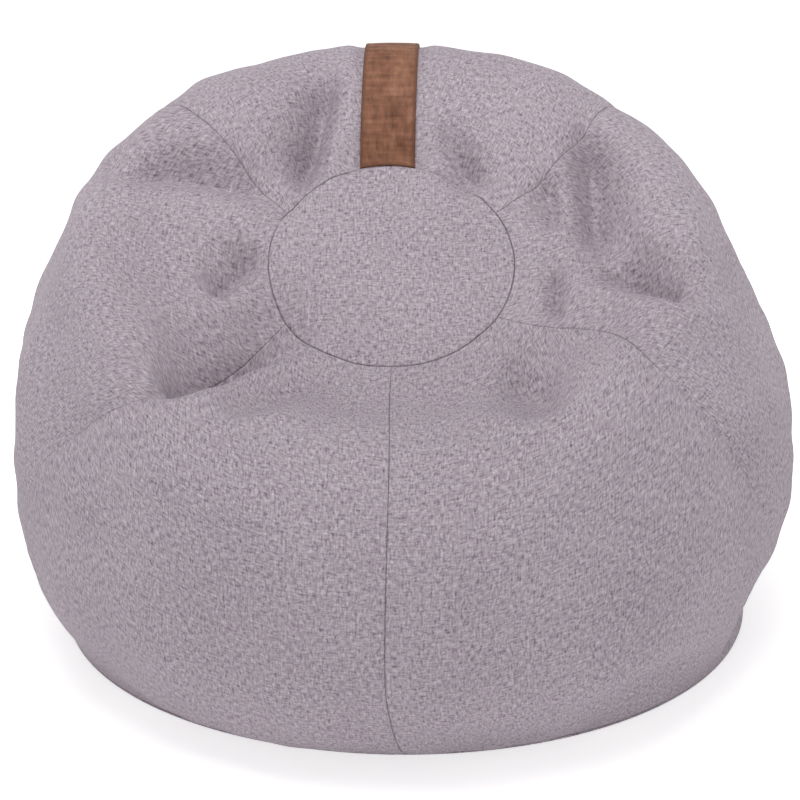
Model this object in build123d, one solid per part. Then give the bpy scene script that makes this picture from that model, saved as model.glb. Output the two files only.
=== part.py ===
from build123d import *
from dataclasses import dataclass
from math import cos, pi, radians, sin
import os

# A slumped bean bag chair: six sewn gores and a round top panel over a zipped base, with an
# inner liner of beads and one leather-look carrying strap. Millimetres, +Z up, front at -Y,
# origin on the floor under the middle of the bag.

# Overall size of the filled bag
WIDTH = 856.0
DEPTH = 864.0
HEIGHT = 604.0

# Round top panel, tilted towards the sitter
CAP_RADIUS = 131.0
CAP_TILT = 33.8
CAP_RISE = 4.0

# Cloth, seams and the room between the layers
COVER_CLOTH = 1.4
LINER_CLOTH = 0.8
SEAM_GAP = 0.8
SEAM_DRAW = 4.0
BACK_SEAM_DRAW = 1.0
LAYER_GAP = 0.3
LINER_EASE = 10.0
LINER_CAP_DROP = 10.0
FILL_EASE = 8.0

# Carrying strap along the back seam
STRAP_WIDTH = 60.0
STRAP_THICKNESS = 2.0
STRAP_LINING = 0.8
STRAP_AIR = 0.25
STRAP_LAYER_GAP = 0.1
STRAP_SLACK = 24.0
STRAP_FRONT_RUN = 235.0
STRAP_LOOP_RUN = 210.0
STRAP_SEWN_END = 70.0
STRAP_START = 1.5
STRAP_STEPS = 36
STRAP_PROBES = 6
PATCH_THICKNESS = 1.0
PATCH_DEPTH = 2.5

# Zip fasteners, shared by the cover's base and the liner's top
TAPE_WIDTH = 13.0
TAPE_THICKNESS = 0.6
TAPE_TAIL = 20.0
TAPE_GAP = 0.1
TOOTH_PITCH = 4.0
TOOTH_WIDTH = 1.7
TOOTH_REACH = 0.9
TOOTH_HEIGHT = 2.6
TEETH_BAR_FRONT = 1.3
TEETH_BAR_BACK = 3.0
SLIDER_LENGTH = 12.0
SLIDER_MOUTH_WIDTH = 11.2
SLIDER_TAIL_WIDTH = 9.2
SLIDER_NOSE_WIDTH = 7.0
SLIDER_SHOULDER = 2.0
SLIDER_RAIL_GAP = 0.5
SLIDER_PLATE = 1.4
SLIDER_CLEARANCE = 0.3
SLIDER_RUN_OFF = 8.0
DIAMOND_LENGTH = 4.0
DIAMOND_WIDTH = 1.8
CROWN_LENGTH = 5.0
CROWN_WIDTH = 2.6
CROWN_HEIGHT = 1.8
CROWN_EYE = 0.55
STOP_LENGTH = 3.5
STOP_HEIGHT = 3.0
WINDOW_WIDTH = 14.0
WINDOW_MARGIN = 4.0
BASE_ZIP_LENGTH = 480.0
LINER_ZIP_LENGTH = 160.0

# Raised channel that keeps the base zip off the floor
ZIP_HEIGHT = 6.0
RAMP_FOOT = 40.0
RAMP_HEAD = 20.0
RIDGE_MARGIN = 5.0
RIDGE_CLEARANCE = 0.6

# Zip heights worked out from the sizes above
CHANNEL_HALF = TOOTH_HEIGHT / 2 + SLIDER_CLEARANCE
SLIDER_HALF_HEIGHT = CHANNEL_HALF + SLIDER_PLATE
TAPE_EDGE = TEETH_BAR_BACK + TAPE_GAP
LINER_FLOOR = COVER_CLOTH + LAYER_GAP
RIDGE_HEIGHT = ZIP_HEIGHT + SLIDER_HALF_HEIGHT + RIDGE_CLEARANCE
FILL_FLOOR = RIDGE_HEIGHT + LINER_CLOTH + LAYER_GAP


@dataclass
class Ring:
    """One level of the bag: its foremost and rearmost point, half width and side seams."""

    front: Vector
    back: Vector
    half_width: float
    upper_seam: float
    lower_seam: float


@dataclass
class Layer:
    """How far one layer lies inside the cover's outer face."""

    inset: float
    cap_drop: float
    floor: float


COVER = Layer(0.0, 0.0, 0.0)
LINER = Layer(COVER_CLOTH + LINER_EASE, LINER_CAP_DROP, LINER_FLOOR)
FILL = Layer(LINER.inset + LINER_CLOTH + FILL_EASE, LINER_CAP_DROP + FILL_EASE, FILL_FLOOR)

# The bag's outline from the top panel down, in shares of half depth, height and half width:
# front y, front z, back y, back z, half width, then the angles of the two side seams
CAP_CENTRE = (-0.139, 0.728)
OUTLINE = [
    (-0.465, 0.594, 0.170, 0.889, 0.439, 33.0, -30.0),
    (-0.537, 0.583, 0.227, 0.927, 0.572, 36.0, -30.0),
    (-0.701, 0.589, 0.366, 0.990, 0.727, 44.0, -31.0),
    (-0.907, 0.497, 0.694, 0.916, 0.853, 42.0, -31.0),
    (-0.995, 0.331, 0.926, 0.656, 0.977, 38.0, -30.0),
    (-0.995, 0.182, 1.000, 0.364, 1.000, 34.0, -30.0),
    (-0.900, 0.058, 0.900, 0.116, 0.940, 31.0, -30.0),
    (-0.794, 0.000, 0.794, 0.000, 0.885, 30.0, -30.0),
]
CAP_SEAMS = (30.0, -30.0)
BACK_SEAM = 90.0
CAP_ORIGIN = Vector(0, CAP_CENTRE[0] * DEPTH / 2, CAP_CENTRE[1] * HEIGHT)
CAP_NORMAL = Vector(0, -sin(radians(CAP_TILT)), cos(radians(CAP_TILT)))
CAP_PLANE = Plane(CAP_ORIGIN, x_dir=(1, 0, 0), z_dir=CAP_NORMAL)


def outline_ring(row):
    """Turn one row of the outline into a ring at its real size."""
    front_y, front_z, back_y, back_z, half, upper, lower = row
    front = Vector(0, front_y * DEPTH / 2, front_z * HEIGHT)
    back = Vector(0, back_y * DEPTH / 2, back_z * HEIGHT)
    return Ring(front, back, half * WIDTH / 2, upper, lower)


CAP_RING = Ring(
    CAP_ORIGIN - CAP_PLANE.y_dir * CAP_RADIUS,
    CAP_ORIGIN + CAP_PLANE.y_dir * CAP_RADIUS,
    CAP_RADIUS,
    *CAP_SEAMS,
)
RINGS = [CAP_RING] + [outline_ring(row) for row in OUTLINE]

SEAM_COUNT = 6
STATIONS = 36


def ring_point(ring, angle):
    """A point of a ring at an angle from +X, counted anticlockwise from above."""
    middle = (ring.front + ring.back) * 0.5
    half_length = (ring.back - ring.front) * 0.5
    turn = radians(angle)
    return middle + Vector(ring.half_width * cos(turn), 0, 0) + half_length * sin(turn)


def seam_angles(ring):
    """The six seams of a ring, from the front seam round to the front seam again."""
    right = [-90.0, ring.lower_seam, ring.upper_seam]
    left = [BACK_SEAM, 180.0 - ring.upper_seam, 180.0 - ring.lower_seam]
    return right + left + [270.0]


def seam_line(index):
    """A seam's angle on each ring."""
    return [seam_angles(ring)[index] for ring in RINGS]


def crown_line(index):
    """The angle on each ring of the crown between a seam and the next."""
    pairs = [seam_angles(ring)[index : index + 2] for ring in RINGS]
    return [(first + last) / 2 for first, last in pairs]


def meridian(angles, turn=0.0):
    """A smooth line over the bag from the top panel to the floor, at one angle for each ring."""
    return Spline(*[ring_point(ring, angle + turn) for ring, angle in zip(RINGS, angles)])


def station_points(angles, layer, draw):
    """Points at even steps down a line over the bag, in one layer, drawn in between its ends."""
    line, ahead, behind = meridian(angles), meridian(angles, 1.0), meridian(angles, -1.0)
    points = []
    for step in range(STATIONS + 1):
        share = step / STATIONS
        point = line @ share
        outward = (line % share).cross(ahead @ share - behind @ share).normalized()
        if step == 0:
            points.append(point - CAP_PLANE.z_dir * layer.cap_drop)
        elif step == STATIONS:
            inward = Vector(-point.X, -point.Y, 0).normalized()
            points.append(point + inward * layer.inset + Vector(0, 0, layer.floor))
        else:
            points.append(point - outward * (layer.inset + draw * sin(pi * share) ** 0.5))
    return points


def gore_arcs(index, layer, gap):
    """A gore's arcs from the top panel down: two drawn-in seam points and the crown between."""
    sides = []
    for seam in (index, index + 1):
        draw = BACK_SEAM_DRAW if seam == SEAM_COUNT / 2 else SEAM_DRAW
        sides.append(station_points(seam_line(seam), layer, draw))
    crowns = station_points(crown_line(index), layer, 0.0)
    arcs = []
    for start, crown, end in zip(sides[0], crowns, sides[1]):
        across = (end - start).normalized() * (gap / 2)
        arcs.append(ThreePointArc(start + across, crown, end - across))
    return arcs


def gore(index, layer, cloth):
    """One cloth gore from the top panel's seam to the floor."""
    skin = Shell.make_loft([Wire([arc]) for arc in gore_arcs(index, layer, SEAM_GAP)])
    return Solid.thicken(skin.faces()[0], cloth)


def block(x, y, z):
    """A box between two limits on each axis."""
    corner = Pos((x[0] + x[1]) / 2, (y[0] + y[1]) / 2, (z[0] + z[1]) / 2)
    return corner * Box(x[1] - x[0], y[1] - y[0], z[1] - z[0])


def prism(points, low, high):
    """A flat polygon raised between two heights."""
    return Pos(0, 0, low) * extrude(make_face(Polyline(*points, close=True)), high - low)


def dome_arc(drop):
    """The section of the top panel's dome, from its middle to its edge, lowered by a drop."""
    edge = CAP_RADIUS - SEAM_GAP
    half_way_rise = CAP_RISE * 3 / 4
    return ThreePointArc((0, 0, CAP_RISE - drop), (edge / 2, 0, half_way_rise - drop), (edge, 0, -drop))


def cap_panel():
    """The round top panel: one slightly domed disc of cover cloth."""
    outer, inner = dome_arc(0.0), dome_arc(COVER_CLOTH)
    profile = make_face([outer, Line(outer @ 1, inner @ 1), inner, Line(inner @ 0, outer @ 0)])
    return CAP_PLANE * revolve(profile, Axis.Z)


def floor_prism(inset):
    """The floor outline, moved in, as a prism that is taller than any base panel."""
    outline = Layer(inset, 0.0, 0.0)
    arcs = [gore_arcs(index, outline, 0.0)[-1] for index in range(SEAM_COUNT)]
    return extrude(make_face(arcs), FILL_FLOOR, dir=(0, 0, 1))


def channel_bump(low, high, spread):
    """A low flat-topped mound along the base zip, which lifts a base sheet off its slider."""
    half = BASE_ZIP_LENGTH / 2 + TAPE_TAIL + SLIDER_RUN_OFF
    foot = Pos(0, 0, low) * Rectangle(2 * (half + RAMP_FOOT + spread), 2 * (RAMP_FOOT + spread))
    head = Pos(0, 0, high) * Rectangle(2 * (half + RAMP_HEAD + spread), 2 * (RAMP_HEAD + spread))
    return loft([foot, head])


def base_sheet(low, high, cloth, inset, spread):
    """A flat sheet of the floor's outline, raised over the base zip."""
    flat = floor_prism(inset) & block((-WIDTH, WIDTH), (-DEPTH, DEPTH), (low, low + cloth))
    return flat + channel_bump(low + cloth, high + cloth, spread) - channel_bump(low, high, spread)


def base_panel(side):
    """One half of the cover's base, with the zip's window cut in it."""
    land = ZIP_HEIGHT - TAPE_THICKNESS / 2 - TAPE_GAP - COVER_CLOTH
    sheet = base_sheet(0.0, land, COVER_CLOTH, COVER_CLOTH + SEAM_GAP, 0.0)
    near, far = sorted((side * SEAM_GAP / 2, side * DEPTH))
    half = sheet & block((-WIDTH, WIDTH), (near, far), (0.0, FILL_FLOOR))
    return half - zip_window(BASE_ZIP_LENGTH, 0.0, FILL_FLOOR)


def liner_base():
    """The liner's base, which lies on the cover's base and arches over its zip."""
    inset = LINER.inset + LINER_CLOTH + SEAM_GAP
    return base_sheet(LINER_FLOOR, RIDGE_HEIGHT, LINER_CLOTH, inset, RIDGE_MARGIN)


def zip_window(length, low, high):
    """The slot that a zip's slider runs in."""
    tail = length / 2 + SLIDER_RUN_OFF + SLIDER_LENGTH / 2 + STOP_LENGTH + WINDOW_MARGIN
    head = length / 2 + STOP_LENGTH + WINDOW_MARGIN
    half = WINDOW_WIDTH / 2
    return block((-head, tail), (-half, half), (low, high))


def zip_tape(length, side):
    """One woven tape of a zip."""
    near, far = sorted((side * TAPE_EDGE, side * (TAPE_EDGE + TAPE_WIDTH)))
    half = TAPE_THICKNESS / 2
    end = length / 2 + TAPE_TAIL
    return block((-end, end + SLIDER_RUN_OFF), (near, far), (-half, half))


def zip_teeth(length, side):
    """One moulded row of teeth on its bar, half a pitch out of step with the other row."""
    points = [(length / 2, side * TEETH_BAR_BACK), (-length / 2, side * TEETH_BAR_BACK)]
    points.append((-length / 2, side * TEETH_BAR_FRONT))
    for index in range(int(length / TOOTH_PITCH) - 1):
        middle = -length / 2 + TOOTH_PITCH * (index + 0.75 + 0.25 * side)
        for x, y in ((-1, TEETH_BAR_FRONT), (-1, -TOOTH_REACH), (1, -TOOTH_REACH), (1, TEETH_BAR_FRONT)):
            points.append((middle + x * TOOTH_WIDTH / 2, side * y))
    points.append((length / 2, side * TEETH_BAR_FRONT))
    return prism(points, -TOOTH_HEIGHT / 2, TOOTH_HEIGHT / 2)


def slider_outline():
    """The slider's plate: a wide mouth at +X and a narrower tail."""
    half = SLIDER_LENGTH / 2
    upper = [
        (-half, SLIDER_TAIL_WIDTH / 2),
        (SLIDER_SHOULDER, SLIDER_MOUTH_WIDTH / 2),
        (half, SLIDER_NOSE_WIDTH / 2),
    ]
    return upper + [(x, -y) for x, y in reversed(upper)]


def zip_slider():
    """A slider without a pull: two plates, side rails, a diamond and a crown with an eye."""
    outline = slider_outline()
    channel = TEETH_BAR_BACK + SLIDER_RAIL_GAP
    rail_gap = TAPE_THICKNESS / 2 + SLIDER_CLEARANCE
    whole = prism(outline, -SLIDER_HALF_HEIGHT, SLIDER_HALF_HEIGHT)
    reach = SLIDER_LENGTH
    teeth_way = block((-reach, reach), (-channel, channel), (-CHANNEL_HALF, CHANNEL_HALF))
    tape_way = block((-reach, reach), (-reach, reach), (-rail_gap, rail_gap))
    front = SLIDER_LENGTH / 2 - SLIDER_PLATE / 2
    middle = front - DIAMOND_LENGTH / 2
    half = DIAMOND_WIDTH / 2
    corners = [(front, 0), (middle, half), (front - DIAMOND_LENGTH, 0), (middle, -half)]
    diamond = prism(corners, -CHANNEL_HALF - SLIDER_PLATE / 2, CHANNEL_HALF + SLIDER_PLATE / 2)
    top = SLIDER_HALF_HEIGHT + CROWN_HEIGHT
    along, across = CROWN_LENGTH / 2, CROWN_WIDTH / 2
    crown = block((-along, along), (-across, across), (CHANNEL_HALF + SLIDER_PLATE / 2, top))
    crown = fillet(crown.edges().filter_by(Axis.Y).group_by(Axis.Z)[-1], CROWN_HEIGHT / 2)
    eye_height = SLIDER_HALF_HEIGHT + CROWN_HEIGHT / 2
    eye = Pos(0, 0, eye_height) * Rot(90, 0, 0) * Cylinder(CROWN_EYE, CROWN_WIDTH * 2)
    return whole - teeth_way - tape_way + diamond + crown - eye


def zip_stops(length):
    """The two end stops of a zip, between its tapes."""
    half = TEETH_BAR_BACK - SEAM_GAP
    height = STOP_HEIGHT / 2
    open_end = -length / 2 - STOP_LENGTH - SEAM_GAP
    closed_end = length / 2 + SLIDER_RUN_OFF + SLIDER_LENGTH / 2 + SEAM_GAP
    stops = [
        block((start, start + STOP_LENGTH), (-half, half), (-height, height))
        for start in (open_end, closed_end)
    ]
    return Compound(stops)


def zip_set(prefix, length, place, front_side):
    """All pieces of one zip, with its slider just past the last closed tooth."""
    rest = Pos(length / 2 + SLIDER_RUN_OFF, 0, 0)
    pieces = {}
    for name, side in (("front", front_side), ("rear", -front_side)):
        pieces[f"{prefix}_tape_{name}"] = place * zip_tape(length, side)
        pieces[f"{prefix}_teeth_{name}"] = place * zip_teeth(length, side)
    pieces[f"{prefix}_slider"] = place * rest * zip_slider()
    pieces[f"{prefix}_end_stops"] = place * zip_stops(length)
    return pieces


def liner_top(side):
    """Half of the liner's flat round top, with the zip's window cut in it."""
    disc = Pos(0, 0, -LINER_CLOTH / 2) * Cylinder(CAP_RADIUS - SEAM_GAP, LINER_CLOTH)
    near, far = sorted((side * SEAM_GAP / 2, side * CAP_RADIUS))
    half = disc & block((-CAP_RADIUS, CAP_RADIUS), (near, far), (-LINER_CLOTH, LINER_CLOTH))
    half = half - zip_window(LINER_ZIP_LENGTH, -LINER_CLOTH, LINER_CLOTH)
    return CAP_PLANE.offset(-LINER_CAP_DROP) * half


def back_seam():
    """The cover's back seam as one curve from the top panel to the floor."""
    return Spline(*station_points(seam_line(SEAM_COUNT // 2), COVER, BACK_SEAM_DRAW))


def strap_clearance():
    """How high the gores rise beside the back seam under the strap, and a little air over them."""
    index = SEAM_COUNT // 2
    seam = station_points(seam_line(index), COVER, BACK_SEAM_DRAW)
    arcs = gore_arcs(index - 1, COVER, 0.0)
    rises = []
    for before, place, after, arc in zip([seam[0]] + seam, seam, seam[1:], arcs):
        along = after - before
        out = Vector(0, -along.Z, along.Y).normalized()
        reach = STRAP_WIDTH / 2 / arc.length
        for step in range(STRAP_PROBES + 1):
            rises.append((arc @ (1 - reach * step / STRAP_PROBES) - place).dot(out))
    return max(rises) + STRAP_AIR


def strap_lift(run):
    """How far the strap stands off the seam: flush, a slack loop for a hand, flush again."""
    share = (run - STRAP_FRONT_RUN) / STRAP_LOOP_RUN
    if share <= 0 or share >= 1:
        return 0.0
    return STRAP_SLACK * sin(pi * share) ** 2


def no_lift(run):
    """A band that follows the seam all along."""
    return 0.0


def seam_band(start, end, low, high, lift):
    """A band of the strap's width along the back seam, between two heights over it."""
    seam = back_seam()
    under, over = [], []
    for step in range(STRAP_STEPS + 1):
        run = start + (end - start) * step / STRAP_STEPS
        place = seam.position_at(run, position_mode=PositionMode.LENGTH)
        along = seam.tangent_at(run, position_mode=PositionMode.LENGTH)
        out = Vector(0, -along.Z, along.Y)
        under.append(place + out * (low + lift(run)))
        over.append(place + out * (high + lift(run)))
    lower, upper = Spline(*under), Spline(*over)
    ends = [Line(under[0], over[0]), Line(under[-1], over[-1])]
    return extrude(make_face([lower, upper] + ends), STRAP_WIDTH / 2, dir=(1, 0, 0), both=True)


def strap_pieces():
    """The strap, its lining, and the patch that backs its sewn rear end inside the cover."""
    end = STRAP_FRONT_RUN + STRAP_LOOP_RUN + STRAP_SEWN_END
    clearance = strap_clearance()
    lining_top = clearance + STRAP_LINING
    strap_low = lining_top + STRAP_LAYER_GAP
    return {
        "handle_strap": seam_band(STRAP_START, end, strap_low, strap_low + STRAP_THICKNESS, strap_lift),
        "handle_strap_lining": seam_band(STRAP_START, end, clearance, lining_top, strap_lift),
        "handle_reinforcement_patch": seam_band(
            end - STRAP_SEWN_END, end, -PATCH_DEPTH - PATCH_THICKNESS, -PATCH_DEPTH, no_lift
        ),
    }


def bead_fill():
    """The beads as one body that fills the liner."""
    sides = [gore_arcs(index, FILL, 0.0) for index in range(SEAM_COUNT)]
    return Solid.make_loft([Wire(arcs) for arcs in zip(*sides)])


# The gores anticlockwise from the front seam
GORE_NAMES = ["front_right", "right", "back_right", "back_left", "left", "front_left"]


def all_pieces():
    """Every piece of the chair by its node name."""
    pieces = {"cover_cap": cap_panel()}
    for index, name in enumerate(GORE_NAMES):
        pieces[f"gore_{name}"] = gore(index, COVER, COVER_CLOTH)
        pieces[f"liner_gore_{name}"] = gore(index, LINER, LINER_CLOTH)
    pieces["base_panel_front"] = base_panel(-1)
    pieces["base_panel_rear"] = base_panel(1)
    base_place = Plane((0, 0, ZIP_HEIGHT), x_dir=(1, 0, 0), z_dir=(0, 0, -1))
    pieces.update(zip_set("zip", BASE_ZIP_LENGTH, base_place, 1))
    pieces.update(strap_pieces())
    pieces["liner_top_front"] = liner_top(-1)
    pieces["liner_top_rear"] = liner_top(1)
    tape_drop = LINER_CAP_DROP + LINER_CLOTH + TAPE_GAP + TAPE_THICKNESS / 2
    pieces.update(zip_set("liner_zip", LINER_ZIP_LENGTH, CAP_PLANE.offset(-tape_drop), -1))
    pieces["liner_base"] = liner_base()
    pieces["bead_fill"] = bead_fill()
    return pieces


def main():
    """Build every piece, centre the bag over the origin and write one file for each."""
    pieces = all_pieces()
    box = Compound([Compound([piece]) for piece in pieces.values()]).bounding_box()
    shift = Pos(-box.center().X, -box.center().Y, -box.min.Z)
    os.makedirs("parts", exist_ok=True)
    for name, piece in pieces.items():
        export_step(shift * piece, f"parts/{name}.step")
    print("box", box.size, "moved by", shift.position)
    print("fill litres", round(pieces["bead_fill"].volume / 1e6, 1))


main()
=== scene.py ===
"""Looks of a slumped bean bag chair: its sewn cover, strap, zips, liner and beads."""
import logging
import math
from dataclasses import dataclass
from enum import Enum
from typing import Any, Sequence

import bmesh
import bpy
import numpy as np
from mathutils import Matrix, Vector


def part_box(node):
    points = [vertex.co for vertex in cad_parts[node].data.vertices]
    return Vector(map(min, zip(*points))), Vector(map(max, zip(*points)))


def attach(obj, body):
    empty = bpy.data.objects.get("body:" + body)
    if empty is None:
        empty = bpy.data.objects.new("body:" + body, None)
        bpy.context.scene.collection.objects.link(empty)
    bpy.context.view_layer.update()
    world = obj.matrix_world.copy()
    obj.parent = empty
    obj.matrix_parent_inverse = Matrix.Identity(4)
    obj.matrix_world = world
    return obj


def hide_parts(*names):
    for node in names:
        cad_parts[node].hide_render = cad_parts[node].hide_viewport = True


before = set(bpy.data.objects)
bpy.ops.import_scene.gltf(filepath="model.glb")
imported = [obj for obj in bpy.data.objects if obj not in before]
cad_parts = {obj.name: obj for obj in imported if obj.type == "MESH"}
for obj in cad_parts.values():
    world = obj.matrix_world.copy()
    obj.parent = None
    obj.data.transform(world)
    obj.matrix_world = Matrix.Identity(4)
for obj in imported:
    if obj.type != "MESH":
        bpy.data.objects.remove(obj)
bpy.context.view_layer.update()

LOG = logging.getLogger("bean_bag")
MM = 0.001
Colour = tuple[float, float, float, float]
WHITE: Colour = (1.0, 1.0, 1.0, 1.0)
CLOTH_UV = "cloth"
# Mesh attribute that marks where painted shade darkens the strap: its edges and its ends.
PAINTED_EDGE_SHADE = "edge"

GORE_NAMES = ("front_right", "right", "back_right", "back_left", "left", "front_left")
BACK_SEAM_INDEX = 3
BACK_TURN = 90.0
FULL_TURN = 360.0
SIDE_SEAMS = (1, 5)
HALVES = ((-1.0, "front"), (1.0, "rear"))
SEEN_RAYS = ("Camera", "Glossy", "Transmission")
GRAIN_FROM = (0.0, 0.5, 0.5, 0.5, 0.5, 1.0)
CHAIR = "chair"


class Slot(Enum):
    """The record's material slots of the pieces made here."""

    COVER = "cover_fabric"
    STRAP = "strap_leather"
    STRAP_LINING = "strap_lining"
    ZIP_TAPE = "zip_tape"
    LINER = "liner_fabric"
    BEADS = "bead_fill"


def smooth(values: np.ndarray) -> np.ndarray:
    """Ease values from 0 to 1 with level ends."""
    held = np.clip(values, 0.0, 1.0)
    return held * held * (3.0 - 2.0 * held)


def unit(vectors: np.ndarray) -> np.ndarray:
    """Scale vectors to length 1 along their last axis."""
    return vectors / np.maximum(np.linalg.norm(vectors, axis=-1, keepdims=True), 1e-12)


def crowded(count: int, crowding: float) -> np.ndarray:
    """Shares from 0 to 1 that stand closer together at both ends.

    Args:
        count: how many shares.
        crowding: 0 for even steps, nearly 1 for very small end steps.

    Returns:
        The shares, in order.
    """
    even = np.linspace(0.0, 1.0, count)
    return even - crowding * np.sin(2.0 * math.pi * even) / (2.0 * math.pi)


def srgb(red: float, green: float, blue: float) -> Colour:
    """Turn a colour on a 0 to 255 screen scale into linear light."""
    linear = []
    for part in (red / 255.0, green / 255.0, blue / 255.0):
        linear.append(part / 12.92 if part <= 0.04045 else ((part + 0.055) / 1.055) ** 2.4)
    return (linear[0], linear[1], linear[2], 1.0)


class Signal:
    """A node's output socket, whose arithmetic adds Math nodes."""

    def __init__(self, graph: "NodeGraph", socket: bpy.types.NodeSocket) -> None:
        """Keep the socket and the graph that it belongs to."""
        self.graph = graph
        self.socket = socket

    def _math(self, operation: str, first: Any, second: Any = 0.0) -> "Signal":
        """Add one Math node."""
        return self.graph.node("ShaderNodeMath", {"operation": operation}, {0: first, 1: second})

    def __add__(self, other: Any) -> "Signal":
        """Add."""
        return self._math("ADD", self, other)

    def __radd__(self, other: Any) -> "Signal":
        """Add to a number."""
        return self._math("ADD", other, self)

    def __sub__(self, other: Any) -> "Signal":
        """Take away."""
        return self._math("SUBTRACT", self, other)

    def __rsub__(self, other: Any) -> "Signal":
        """Take away from a number."""
        return self._math("SUBTRACT", other, self)

    def __mul__(self, other: Any) -> "Signal":
        """Multiply."""
        return self._math("MULTIPLY", self, other)

    def __rmul__(self, other: Any) -> "Signal":
        """Multiply a number."""
        return self._math("MULTIPLY", other, self)

    def sine(self) -> "Signal":
        """The sine of the value."""
        return self._math("SINE", self)

    def held(self) -> "Signal":
        """The value kept between 0 and 1."""
        return self._math("MINIMUM", self._math("MAXIMUM", self, 0.0), 1.0)


class NodeGraph:
    """A node tree that is filled one node at a time."""

    def __init__(self, tree: bpy.types.NodeTree) -> None:
        """Start on an empty tree."""
        self.tree = tree
        self.tree.nodes.clear()

    def node(
        self,
        kind: str,
        settings: dict[str, Any] | None = None,
        sockets: dict[Any, Any] | None = None,
        output: Any = 0,
    ) -> Signal:
        """Add a node.

        Args:
            kind: the node's type.
            settings: its properties, set first; "stops" fills a colour ramp.
            sockets: numbers, colours or signals by the input's name or place.
            output: the name or place of the output to return.

        Returns:
            The chosen output.
        """
        made = self.tree.nodes.new(kind)
        for name, value in (settings or {}).items():
            if name == "stops":
                self._set_stops(made.color_ramp, value)
            else:
                setattr(made, name, value)
        for key, value in (sockets or {}).items():
            if isinstance(value, Signal):
                self.tree.links.new(value.socket, made.inputs[key])
            else:
                made.inputs[key].default_value = value
        outputs = made.outputs
        return Signal(self, outputs[output] if len(outputs) else made.inputs[0])

    def rays(self, *kinds: str) -> Signal:
        """1 for rays of these kinds and 0 for all others."""
        path = self.node("ShaderNodeLightPath").socket.node
        return sum(Signal(self, path.outputs[f"Is {kind} Ray"]) for kind in kinds).held()

    @staticmethod
    def _set_stops(ramp: bpy.types.ColorRamp, stops: Sequence[tuple[float, Any]]) -> None:
        """Give a colour ramp its stops."""
        while len(ramp.elements) < len(stops):
            ramp.elements.new(0.5)
        for element, (place, colour) in zip(ramp.elements, stops):
            element.position = place
            element.color = colour


class ShaderGraph(NodeGraph):
    """The nodes of one material."""

    def __init__(self, name: str) -> None:
        """Start a new material."""
        self.material = bpy.data.materials.new(name)
        self.material.use_nodes = True
        super().__init__(self.material.node_tree)

    def cloth_place(self) -> Signal:
        """The place on the cut cloth, in metres."""
        return self.node("ShaderNodeUVMap", {"uv_map": CLOTH_UV})

    def object_place(self) -> Signal:
        """The place in the object's own space, in metres."""
        return self.node("ShaderNodeTexCoord", output="Object")

    def scaled(self, place: Signal, scale: tuple[float, float, float]) -> Signal:
        """A place stretched along each axis."""
        return self.node("ShaderNodeMapping", {}, {"Vector": place, "Scale": scale})

    def noise(
        self, place: Signal, scale: tuple[float, float, float], detail: float, rough: float = 0.5
    ) -> Signal:
        """Cloudy noise around 0.5.

        Args:
            place: where to read it.
            scale: how many clouds to the metre on each axis.
            detail: how many finer layers.
            rough: how strong the finer layers are.

        Returns:
            The noise value.
        """
        sockets = {"Vector": self.scaled(place, scale), "Scale": 1.0, "Detail": detail, "Roughness": rough}
        return self.node("ShaderNodeTexNoise", {}, sockets)

    def ramp(self, value: Signal, stops: Sequence[tuple[float, Any]]) -> Signal:
        """Colours along a value."""
        return self.node("ShaderNodeValToRGB", {"stops": stops}, {0: value})

    def blend(self, share: Any, first: Any, second: Any, how: str = "MIX") -> Signal:
        """Two colours mixed."""
        settings = {"data_type": "RGBA", "blend_type": how}
        return self.node("ShaderNodeMix", settings, {0: share, 6: first, 7: second}, output=2)

    def split(self, place: Signal) -> tuple[Signal, Signal, Signal]:
        """The three parts of a vector."""
        made = self.node("ShaderNodeSeparateXYZ", {}, {0: place}).socket.node
        return tuple(Signal(self, made.outputs[axis]) for axis in range(3))

    def bump(self, height: Signal, distance: float, strength: float) -> Signal:
        """A normal that is raised by a height."""
        sockets = {"Height": height, "Distance": distance, "Strength": strength}
        return self.node("ShaderNodeBump", {}, sockets)

    def surface(self, **sockets: Any) -> None:
        """End the material in one Principled surface."""
        named = {name.replace("_", " "): value for name, value in sockets.items()}
        made = self.node("ShaderNodeBsdfPrincipled", {}, named)
        self.node("ShaderNodeOutputMaterial", {}, {"Surface": made})


class Finish:
    """A procedural material that is made once and shared."""

    name: str

    def material(self) -> bpy.types.Material:
        """The material, made at the first call."""
        known = bpy.data.materials.get(self.name)
        if known is not None:
            return known
        graph = ShaderGraph(self.name)
        self.paint(graph)
        return graph.material

    def paint(self, graph: ShaderGraph) -> None:
        """Fill the material's nodes."""
        raise NotImplementedError


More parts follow.
